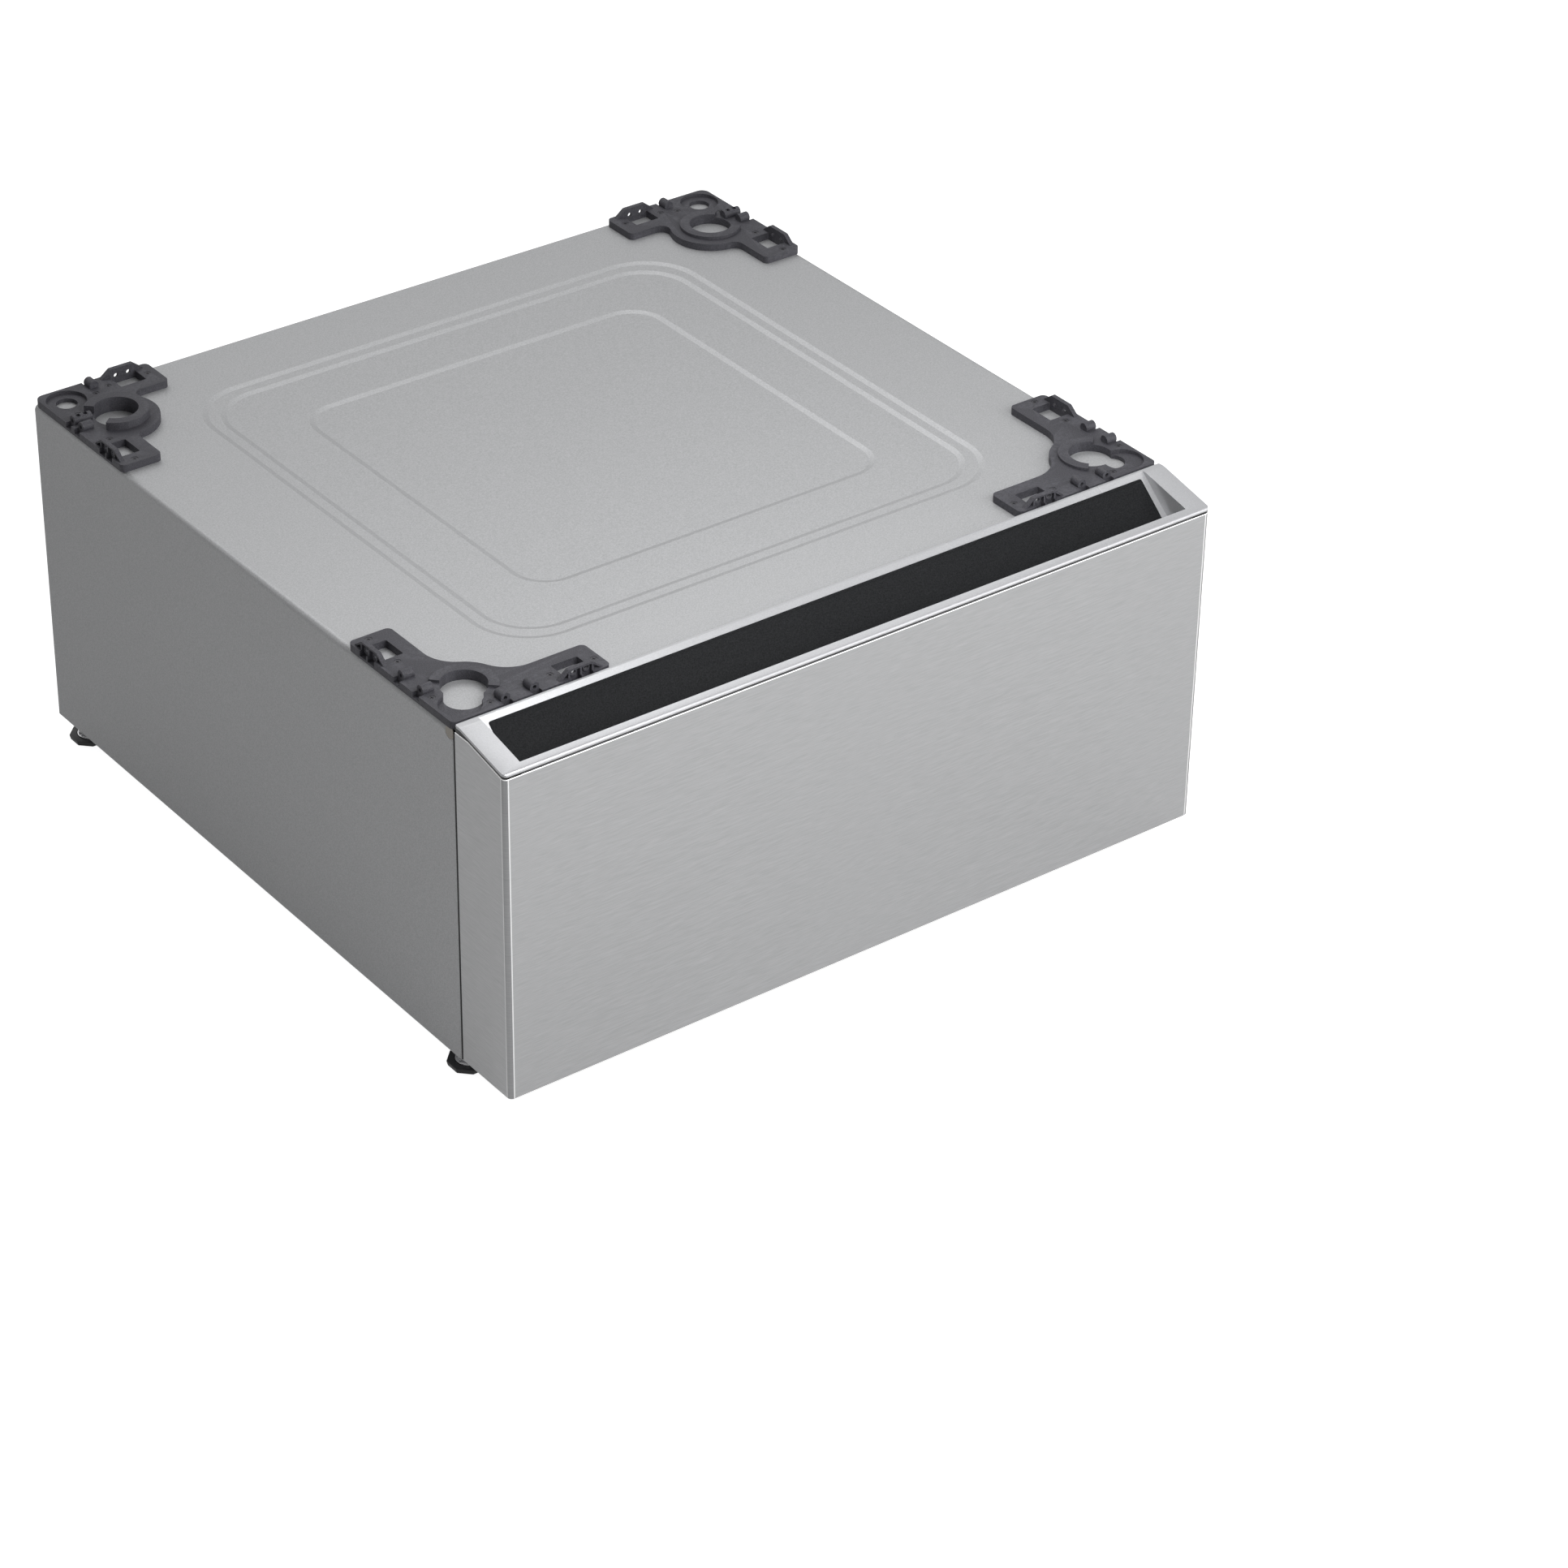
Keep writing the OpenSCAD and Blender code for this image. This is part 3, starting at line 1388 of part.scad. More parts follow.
// Section of a wall: its sheet with the rim rolled outwards along the top
module wall_section() {
    square([tray_t, tray_h]);
    translate([0, tray_h - tray_t])
        square([tray_rim_w, tray_t]);
    translate([tray_rim_w - tray_t, tray_h - tray_rim_w])
        square([tray_t, tray_rim_w]);
}

module drawer_side_wall() {
    difference() {
        translate([tray_w / 2 - tray_t, panel_y, tray_z])
            along_y(tray_d)
                wall_section();
        for (y = drawer_screw_ys())
            translate([tray_w / 2 - tray_t - cut, y, slide_z])
                rotate([0, 90, 0])
                    cylinder(h = tray_t + 2 * cut, r = screw_shank_r + fit);
    }
}

module drawer_left_wall() color(zinc) on_side(-1) drawer_side_wall();
module drawer_right_wall() color(zinc) on_side(1) drawer_side_wall();

module drawer_back_wall() color(zinc)
    translate([0, panel_y + tray_d - tray_t, tray_z])
        along_x(tray_inner_w)
            wall_section();

module drawer_front_wall() color(zinc)
    difference() {
        translate([-tray_inner_w / 2, panel_y, tray_z])
            cube([tray_inner_w, tray_t, tray_h]);
        for (p = front_screw_places())
            translate([p.x, panel_y - cut, p.y])
                rotate([-90, 0, 0])
                    cylinder(h = tray_t + 2 * cut, r = screw_shank_r + fit);
    }

module front_screws() color(steel)
    for (p = front_screw_places())
        translate([p.x, panel_y + tray_t, p.y])
            rotate([-90, 0, 0])
                pan_screw(tray_t + panel_t);

cabinet_shell();
back_panel();
back_panel_screws();
base_frame();
top_rail();
left_slide_posts();
right_slide_posts();
leg_plates();
weld_nuts();
lock_nuts();
front_left_corner_plate();
front_right_corner_plate();
rear_left_corner_plate();
rear_right_corner_plate();
corner_plate_screws();
side_plugs();
left_slide_outer();
right_slide_outer();
slide_post_screws();
left_slide_middle();
right_slide_middle();
left_outer_cage();
right_outer_cage();
left_outer_balls();
right_outer_balls();
left_inner_cage();
right_inner_cage();
left_inner_balls();
right_inner_balls();
left_slide_inner();
right_slide_inner();
slide_drawer_screws();
front_skin();
front_inner_panel();
handle_bezel();
handle_insert();
drawer_bumpers();
drawer_bottom();
drawer_left_wall();
drawer_right_wall();
drawer_back_wall();
drawer_front_wall();
front_screws();
front_left_foot();
front_right_foot();
rear_left_foot();
rear_right_foot();
front_left_stud();
front_right_stud();
rear_left_stud();
rear_right_stud();
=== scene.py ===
"""Washer pedestal with a storage drawer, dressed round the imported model.

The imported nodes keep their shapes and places. Modifiers round their edges, and every finish is
procedural. Lengths are in metres.
"""

import json
import logging
import math
from dataclasses import dataclass
from enum import Enum
from typing import Callable, Iterable, Optional

import bmesh
import bpy
from mathutils import Matrix, Vector


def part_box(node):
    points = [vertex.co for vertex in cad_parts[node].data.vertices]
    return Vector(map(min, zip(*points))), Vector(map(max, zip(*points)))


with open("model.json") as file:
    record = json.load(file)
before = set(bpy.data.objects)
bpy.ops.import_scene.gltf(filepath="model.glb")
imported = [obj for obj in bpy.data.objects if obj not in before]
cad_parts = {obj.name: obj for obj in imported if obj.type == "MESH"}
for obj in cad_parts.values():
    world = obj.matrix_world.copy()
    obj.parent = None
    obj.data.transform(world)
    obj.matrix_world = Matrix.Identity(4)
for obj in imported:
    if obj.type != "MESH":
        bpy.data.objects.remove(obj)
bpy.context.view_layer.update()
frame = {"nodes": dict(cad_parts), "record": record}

LOG = logging.getLogger("pedestal")
MM = 0.001

Node = bpy.types.Node
Socket = bpy.types.NodeSocket
Point = tuple[float, float, float]
Colour = tuple[float, float, float]

WHITE: Colour = (1.0, 1.0, 1.0)

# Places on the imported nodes

SKIN_LOW, SKIN_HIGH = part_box("front_skin")
SHELL_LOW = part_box("cabinet_shell")[0]
BEZEL_BACK_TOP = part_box("handle_bezel")[1].z
BEZEL_DROP = 12.2 * MM
BEZEL_SLOPE = BEZEL_DROP / (57.5 * MM)
BEZEL_FRONT_TOP = BEZEL_BACK_TOP - BEZEL_DROP
BEZEL_RIM = 4.5 * MM

# Edge rounding

WELD_GAP = 0.002 * MM
FLAT_ANGLE = 0.4
CREASE_ANGLE = 32.0


class Slot(Enum):
    """The record's material slots."""

    PAINTED_SHEET = "painted_sheet"
    CHARCOAL_PLASTIC = "charcoal_plastic"
    BLACKENED_SCREWS = "blackened_screws"
    BEIGE_PLASTIC = "beige_plastic"
    BRUSHED_STEEL = "brushed_steel"
    BLACK_PLASTIC = "black_plastic"
    SILVER_PLASTIC = "silver_plastic"
    DARK_INSERT = "dark_insert"
    BUMPER_RUBBER = "bumper_rubber"
    FOOT_PLASTIC = "foot_plastic"
    BALL_STEEL = "ball_steel"
    CAGE_STEEL = "cage_steel"
    BRIGHT_ZINC = "bright_zinc"
    GALVANISED_SHEET = "galvanised_sheet"


class Corner(Enum):
    """The four corners of the cabinet."""

    FRONT_LEFT = "front_left"
    FRONT_RIGHT = "front_right"
    REAR_LEFT = "rear_left"
    REAR_RIGHT = "rear_right"


# Shader node groups


@dataclass
class Graph:
    """A node tree with short calls to add and join nodes."""

    tree: bpy.types.NodeTree

    def add(self, kind: str, inputs: Optional[dict] = None, **settings: object) -> Node:
        """Adds a node.

        Args:
            kind: the node's Blender type name.
            inputs: values or sockets for its inputs, by name or number.
            settings: the node's own properties.

        Returns:
            The new node.
        """
        node = self.tree.nodes.new(kind)
        for name, value in settings.items():
            setattr(node, name, value)
        for name, value in (inputs or {}).items():
            self.give(node.inputs[name], value)
        return node

    def give(self, socket: Socket, value: object) -> None:
        """Sets or joins an input.

        Args:
            socket: the input.
            value: another node's output, a number, or a colour or other tuple.
        """
        if isinstance(value, Socket):
            self.tree.links.new(value, socket)
        elif socket.type == "RGBA":
            socket.default_value = (*value, 1.0)
        else:
            socket.default_value = value

    def find(self, kind: str) -> Node:
        """Returns the node of a kind that the tree began with."""
        return next(node for node in self.tree.nodes if node.type == kind)

    def calc(self, operation: str, *values: object) -> Socket:
        """Adds a Math node and returns its result."""
        return self.add("ShaderNodeMath", dict(enumerate(values)), operation=operation).outputs[0]

    def blend(self, factor: object, low: object, high: object) -> Socket:
        """Mixes two colours by a factor and returns the result."""
        node = self.add("ShaderNodeMix", data_type="RGBA")
        for name, value in (("Factor_Float", factor), ("A_Color", low), ("B_Color", high)):
            self.give(next(socket for socket in node.inputs if socket.identifier == name), value)
        return next(socket for socket in node.outputs if socket.identifier == "Result_Color")

    def ranged(
            self, value: Socket, low: float, high: float, to_low: float = 0.0, to_high: float = 1.0) -> Socket:
        """Maps a value from one range onto another, clamped, and returns the result."""
        inputs = {"Value": value, "From Min": low, "From Max": high, "To Min": to_low, "To Max": to_high}
        return self.add("ShaderNodeMapRange", inputs).outputs[0]

    def place(self) -> Socket:
        """Returns the point of the surface in its own piece's frame."""
        return self.add("ShaderNodeTexCoord").outputs["Object"]

    def axes(self) -> tuple[Socket, Socket, Socket]:
        """Returns that point's X, Y and Z."""
        parts = self.add("ShaderNodeSeparateXYZ", {"Vector": self.place()})
        return parts.outputs["X"], parts.outputs["Y"], parts.outputs["Z"]

    def noise(self, place: Socket, scale: object, detail: float, roughness: float) -> Socket:
        """Adds a noise texture over a place and returns its value."""
        inputs = {"Vector": place, "Scale": scale, "Detail": detail, "Roughness": roughness}
        return self.add("ShaderNodeTexNoise", inputs).outputs["Fac"]


def shader_group(name: str, inputs: dict[str, float], outputs: Iterable[str]) -> tuple[Graph, Node, Node]:
    """Starts a shader node group.

    Args:
        name: the group's name.
        inputs: its number inputs with their first values.
        outputs: the names of its number outputs.

    Returns:
        The group's graph, its input node and its output node.
    """
    tree = bpy.data.node_groups.new(name, "ShaderNodeTree")
    for label, value in inputs.items():
        socket = tree.interface.new_socket(label, in_out="INPUT", socket_type="NodeSocketFloat")
        socket.default_value = value
    for label in outputs:
        tree.interface.new_socket(label, in_out="OUTPUT", socket_type="NodeSocketFloat")
    graph = Graph(tree)
    return graph, graph.add("NodeGroupInput"), graph.add("NodeGroupOutput")


def fine_grain_group() -> bpy.types.NodeTree:
    """Builds the grain of a moulded or painted surface.

    Returns:
        A group that puts out a height and a speckle mask at a given scale per metre.
    """
    finer = 2.7
    coarse_share, fine_share = 0.6, 0.4
    dark, light = 0.36, 0.64
    graph, given, out = shader_group("fine_grain", {"Scale": 1000.0}, ("Height", "Speckle"))
    place = graph.place()
    coarse = graph.noise(place, given.outputs["Scale"], 3.0, 0.6)
    fine = graph.noise(place, graph.calc("MULTIPLY", given.outputs["Scale"], finer), 2.0, 0.7)
    graph.give(out.inputs["Height"], graph.calc("ADD", coarse, fine))
    both = graph.calc(
        "ADD", graph.calc("MULTIPLY", coarse, coarse_share), graph.calc("MULTIPLY", fine, fine_share))
    graph.give(out.inputs["Speckle"], graph.ranged(both, dark, light))
    return graph.tree


def brushing_group() -> bpy.types.NodeTree:
    """Builds the fine level lines that brushing leaves, running round the piece's sides.

    Returns:
        A group that puts out a height and a streak mask for lines of a given length and fineness.
    """
    side_scale = 3.0
    layers = (1.0, 0.8, 0.6)
    dark, light = 1.15, 1.85
    graph, given, out = shader_group("brushing", {"Fineness": 1500.0, "Length": 45.0}, ("Height", "Streak"))
    x, y, z = graph.axes()
    along = graph.calc("MULTIPLY", graph.calc("ADD", x, y), given.outputs["Length"])
    side = graph.calc("MULTIPLY", graph.calc("SUBTRACT", x, y), side_scale)
    lines: Optional[Socket] = None
    for share in layers:
        across = graph.calc("MULTIPLY", z, graph.calc("MULTIPLY", given.outputs["Fineness"], share))
        run = graph.calc("MULTIPLY", along, share)
        place = graph.add("ShaderNodeCombineXYZ", {"X": run, "Y": side, "Z": across}).outputs[0]
        layer = graph.noise(place, 1.0, 2.0, 0.6)
        lines = layer if lines is None else graph.calc("ADD", lines, layer)
    graph.give(out.inputs["Height"], lines)
    graph.give(out.inputs["Streak"], graph.ranged(lines, dark, light))
    return graph.tree


def handling_group() -> bpy.types.NodeTree:
    """Builds broad, soft patches such as handling and coating leave.

    Returns:
        A group that puts out a mask of patches at a given scale per metre.
    """
    clean, handled = 0.3, 0.7
    graph, given, out = shader_group("handling", {"Scale": 6.0}, ("Mask",))
    patches = graph.noise(graph.place(), given.outputs["Scale"], 4.0, 0.55)
    graph.give(out.inputs["Mask"], graph.ranged(patches, clean, handled))
    return graph.tree


def edge_wear_and_sheen_group() -> bpy.types.NodeTree:
    """Builds a mask of the outer edges, lighter there partly as wear, where a coating is thinner and handled
    most, and partly as painted highlight.

    Returns:
        A group that puts out a mask, broken up by noise at a given scale per metre.
    """
    flat, edge = 0.52, 0.60
    bare, whole = 0.35, 0.65
    graph, given, out = shader_group("edge_wear_and_sheen", {"Scale": 400.0, "Amount": 0.5}, ("Mask",))
    sharp = graph.ranged(graph.add("ShaderNodeNewGeometry").outputs["Pointiness"], flat, edge)
    broken = graph.ranged(graph.noise(graph.place(), given.outputs["Scale"], 4.0, 0.6), bare, whole)
    worn_and_sheened = graph.calc("MULTIPLY", graph.calc("MULTIPLY", sharp, broken), given.outputs["Amount"])
    graph.give(out.inputs["Mask"], worn_and_sheened)
    return graph.tree


class Effects:
    """The shader groups, each built once."""

    makers: dict[str, Callable[[], bpy.types.NodeTree]] = {
        "fine_grain": fine_grain_group,
        "brushing": brushing_group,
        "handling": handling_group,
        "edge_wear_and_sheen": edge_wear_and_sheen_group,
    }

    @classmethod
    def place_in(cls, graph: Graph, name: str, **values: float) -> Node:
        """Places a group in a material's graph.

        Args:
            graph: the material's graph.
            name: the group's name.
            values: the group's inputs, by name with capitals dropped.

        Returns:
            The group's node.
        """
        tree = bpy.data.node_groups.get(name) or cls.makers[name]()
        node = graph.add("ShaderNodeGroup", node_tree=tree)
        for label, value in values.items():
            node.inputs[label.capitalize()].default_value = value
        return node


# Finishes


@dataclass(frozen=True)
class Finish:
    """What every finish has: a colour, its gloss, a grain and soft patches."""

    name: str
    colour: Colour
    roughness: float
    metallic: float = 0.0
    specular: float = 0.5
    grain_scale: float = 1000.0
    grain_depth: float = 0.02 * MM
    speckle: float = 0.06
    patches: float = 0.05
    patch_scale: float = 6.0
    patch_darkness: float = 3.0
    # Lighter outer edges, partly wear and partly painted highlight.
    wear_and_sheen: float = 0.0
    wear_and_sheen_colour: Colour = (0.3, 0.3, 0.3)

    @property
    def label(self) -> str:
        """Returns the material's name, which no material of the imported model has."""
        return f"{self.name}_finish"

    def start(self) -> tuple[bpy.types.Material, Graph, Node]:
        """Makes the material and its shader.

        Returns:
            The material, its graph and its Principled BSDF.
        """
        material = bpy.data.materials.new(self.label)
        material.use_nodes = True
        material.diffuse_color = (*self.colour, 1.0)
        graph = Graph(material.node_tree)
        shader = graph.find("BSDF_PRINCIPLED")
        graph.give(shader.inputs["Specular IOR Level"], self.specular)
        graph.give(shader.inputs["Metallic"], self.metallic)
        return material, graph, shader

    def shade(self, amount: float) -> Colour:
        """Returns the colour made lighter or darker by a share of itself."""
        return tuple(min(1.0, channel * (1.0 + amount)) for channel in self.colour)

    def patched(self, graph: Graph, colour: Socket, mask: Socket) -> Socket:
        """Darkens a colour in soft patches and returns it."""
        amount = graph.calc("MULTIPLY", mask, self.patches)
        return graph.blend(amount, colour, self.shade(-self.patch_darkness * self.patches))

    def bump(self, graph: Graph, shader: Node, height: Socket, depth: float) -> None:
        """Joins a height of a given depth to the shader's normal."""
        bump = graph.add("ShaderNodeBump", {"Height": height, "Distance": depth, "Strength": 1.0})
        graph.give(shader.inputs["Normal"], bump.outputs["Normal"])

    def lay_painted_shade(self, graph: Graph, shader: Node, mask: Socket, colour: Colour) -> None:
        """Lays a colour that isn't metal over the finish; here it is painted shade in joints and gaps.

        Args:
            graph: the material's graph.
            shader: its Principled BSDF.
            mask: 1 where the painted shade is.
            colour: the painted shade's colour.
        """
        under = shader.inputs["Base Color"].links[0].from_socket
        graph.give(shader.inputs["Base Color"], graph.blend(mask, under, colour))
        graph.give(shader.inputs["Metallic"], graph.ranged(mask, 0.0, 1.0, self.metallic, 0.0))

    def surface(self, graph: Graph, shader: Node) -> None:
        """Joins the colour, roughness and bump of this finish to its shader.

        Args:
            graph: the material's graph.
            shader: its Principled BSDF.
        """
        grain = Effects.place_in(graph, "fine_grain", scale=self.grain_scale)
        patch = Effects.place_in(graph, "handling", scale=self.patch_scale).outputs["Mask"]
        colour = graph.blend(grain.outputs["Speckle"], self.shade(-self.speckle), self.shade(self.speckle))
        colour = self.patched(graph, colour, patch)
        if self.wear_and_sheen:
            # Lighter outer edges: partly wear, partly a painted highlight.
            worn_and_sheened = Effects.place_in(graph, "edge_wear_and_sheen", amount=self.wear_and_sheen)
            colour = graph.blend(worn_and_sheened.outputs["Mask"], colour, self.wear_and_sheen_colour)
        graph.give(shader.inputs["Base Color"], colour)
        low, high = self.roughness - self.patches, self.roughness + self.patches
        graph.give(shader.inputs["Roughness"], graph.ranged(patch, 0.0, 1.0, low, high))
        self.bump(graph, shader, grain.outputs["Height"], self.grain_depth)

    def material(self) -> bpy.types.Material:
        """Returns the finished material, made the first time it is asked for."""
        made = bpy.data.materials.get(self.label)
        if made:
            return made
        made, graph, shader = self.start()
        self.surface(graph, shader)
        return made


@dataclass(frozen=True)
class BrushedFinish(Finish):
    """Steel brushed in level lines, with painted shade on its upright bends, painted highlights along their
    edges and a painted highlight along its top edge.
    """

    patch_darkness: float = 2.0
    fineness: float = 1900.0
    length: float = 75.0
    streaks: float = 0.075
    line_depth: float = 0.012 * MM
    front_y: float = SKIN_LOW.y
    half_width: float = SKIN_HIGH.x
    top_front: float = BEZEL_FRONT_TOP - BEZEL_RIM
    top_back: float = SKIN_HIGH.z
    slope: float = BEZEL_SLOPE
    # Sizes and colours of the painted shade on the bends, and of the painted highlights on them and on the top
    # edge.
    fold: float = 4.0 * MM
    fold_line: float = 0.45 * MM
    fold_shade_colour: Colour = (0.08, 0.08, 0.085)
    fold_shade_amount: float = 0.35
    side_highlight_share: float = 0.45
    top_highlight_depth: float = 0.8 * MM
    cut_softness: float = 0.2 * MM

    def fold_shade_and_highlight_masks(self, graph: Graph, x: Socket, y: Socket) -> tuple[Socket, Socket]:
        """Finds the upright bends, for their painted shade and painted highlights.

        Args:
            graph: the material's graph.
            x: the surface point's X.
            y: the surface point's Y.

        Returns:
            A mask of the bend itself, where shade is painted, and one of the painted highlight lines along
            both of its edges.
        """
        across = graph.calc("SUBTRACT", graph.calc("ABSOLUTE", x), self.half_width - self.fold)
        ahead = graph.calc("SUBTRACT", self.front_y + self.fold, y)
        within = graph.calc("MINIMUM", across, ahead)
        shaded_bend = graph.ranged(within, 0.0, self.fold_line)
        near, far = 0.5 * self.fold_line, 1.5 * self.fold_line
        highlight_line = graph.ranged(graph.calc("ABSOLUTE", within), near, far, 1.0, 0.0)
        front = graph.calc("MULTIPLY", highlight_line, graph.calc("LESS_THAN", across, ahead))
        side = graph.calc("MULTIPLY", graph.calc("SUBTRACT", highlight_line, front), self.side_highlight_share)
        return shaded_bend, graph.calc("ADD", front, side)

    def top_highlight_mask(self, graph: Graph, y: Socket, z: Socket) -> Socket:
        """Returns a mask of the painted highlight along the sheet's cut top edge, which follows the slope of
        its top.
        """
        depth = graph.calc("SUBTRACT", y, self.front_y)
        rise = graph.calc("ADD", graph.calc("MULTIPLY", depth, self.slope), self.top_front - self.top_highlight_depth)
        edge = graph.calc("MINIMUM", rise, self.top_back - self.top_highlight_depth)
        return graph.ranged(graph.calc("SUBTRACT", z, edge), 0.0, self.cut_softness)

    def surface(self, graph: Graph, shader: Node) -> None:
        """Joins the brushed lines, the painted shade and highlights of the bends and the painted highlight of
        the cut top edge to the shader.

        Args:
            graph: the material's graph.
            shader: its Principled BSDF.
        """
        lines = Effects.place_in(graph, "brushing", fineness=self.fineness, length=self.length)
        patch = Effects.place_in(graph, "handling", scale=self.patch_scale).outputs["Mask"]
        streak = lines.outputs["Streak"]
        colour = graph.blend(streak, self.shade(-self.streaks), self.shade(self.streaks))
        colour = self.patched(graph, colour, patch)
        x, y, z = graph.axes()
        shaded_bend, fold_highlight = self.fold_shade_and_highlight_masks(graph, x, y)
        # Painted shade: the upright bends are darkened towards a near-black colour.
        shaded = graph.blend(graph.calc("MULTIPLY", shaded_bend, self.fold_shade_amount), colour, self.fold_shade_colour)
        # Painted highlights: white lines along the bends' edges and along the sheet's top edge.
        painted_highlight = graph.calc("MAXIMUM", fold_highlight, self.top_highlight_mask(graph, y, z))
        graph.give(shader.inputs["Base Color"], graph.blend(painted_highlight, shaded, WHITE))
        low, high = self.roughness + self.streaks / 2, self.roughness - self.streaks / 2
        graph.give(shader.inputs["Roughness"], graph.ranged(streak, 0.0, 1.0, low, high))
        self.bump(graph, shader, lines.outputs["Height"], self.line_depth)


@dataclass(frozen=True)
class SpangledFinish(Finish):
    """Galvanised sheet, whose zinc sets in faint crystals."""

    crystal_scale: float = 90.0
    contrast: float = 0.12

    def surface(self, graph: Graph, shader: Node) -> None:
        """Joins the crystals to the shader.

        Args:
            graph: the material's graph.
            shader: its Principled BSDF.
        """
        inputs = {"Vector": graph.place(), "Scale": self.crystal_scale, "Randomness": 1.0}
        cells = graph.add("ShaderNodeTexVoronoi", inputs)
        tone = graph.add("ShaderNodeSeparateColor", {"Color": cells.outputs["Color"]}).outputs[0]
        grain = Effects.place_in(graph, "fine_grain", scale=self.grain_scale)
        colour = graph.blend(tone, self.shade(-self.contrast), self.shade(self.contrast))
        graph.give(shader.inputs["Base Color"], colour)
        low, high = self.roughness - self.contrast, self.roughness + self.contrast
        graph.give(shader.inputs["Roughness"], graph.ranged(tone, 0.0, 1.0, low, high))
        self.bump(graph, shader, grain.outputs["Height"], self.grain_depth)


@dataclass(frozen=True)
class CapFinish(Finish):
    """Satin silver whose outer edge ends in a near-black band of painted shade, which darkens the joint under
    it.
    """

    front_y: float = SKIN_LOW.y
    half_width: float = SKIN_HIGH.x
    front_height: float = BEZEL_FRONT_TOP
    back_height: float = BEZEL_BACK_TOP
    slope: float = BEZEL_SLOPE
    cap: float = 2.3 * MM
    inset: float = 2.0 * MM
    # Near-black painted shade in the joint under the silver cap.
    joint_shade_colour: Colour = (0.004, 0.004, 0.004)

    def joint_shade_mask(self, graph: Graph) -> Socket:
        """Marks the band of painted shade.

        Args:
            graph: the material's graph.

        Returns:
            A mask that is 1 near the outer faces, below the silver cap.
        """
        x, y, z = graph.axes()
        depth = graph.calc("SUBTRACT", y, self.front_y)
        rise = graph.calc("ADD", graph.calc("MULTIPLY", depth, self.slope), self.front_height)
        below = graph.calc("SUBTRACT", graph.calc("MINIMUM", rise, self.back_height), z)
        low = graph.calc("GREATER_THAN", below, self.cap)
        side = graph.calc("GREATER_THAN", graph.calc("ABSOLUTE", x), self.half_width - self.inset)
        front = graph.calc("LESS_THAN", depth, self.inset)
        return graph.calc("MULTIPLY", low, graph.calc("MAXIMUM", side, front))

    def surface(self, graph: Graph, shader: Node) -> None:
        """Joins the plain finish and the band of painted shade to the shader.

        Args:
            graph: the material's graph.
            shader: its Principled BSDF.
        """
        super().surface(graph, shader)
        self.lay_painted_shade(graph, shader, self.joint_shade_mask(graph), self.joint_shade_colour)


@dataclass(frozen=True)
class GapShadedFinish(Finish):
    """Painted sheet with near-black painted shade on the outer edge of its front rim, in the gap to the drawer
    front.
    """

    front_y: float = SHELL_LOW.y
    half_width: float = -SHELL_LOW.x
    reach: float = 0.9 * MM
    width: float = 8.0 * MM
    # Near-black painted shade in the gap between the sheet's front rim and the drawer front.
    gap_shade_colour: Colour = (0.006, 0.006, 0.007)

    def surface(self, graph: Graph, shader: Node) -> None:
        """Joins the plain finish and the painted shade to the shader.

        Args:
            graph: the material's graph.
            shader: its Principled BSDF.
        """
        super().surface(graph, shader)
        x, y, _ = graph.axes()
        front = graph.calc("LESS_THAN", y, self.front_y + self.reach)
        side = graph.calc("GREATER_THAN", graph.calc("ABSOLUTE", x), self.half_width - self.width)
        self.lay_painted_shade(graph, shader, graph.calc("MULTIPLY", front, side), self.gap_shade_colour)


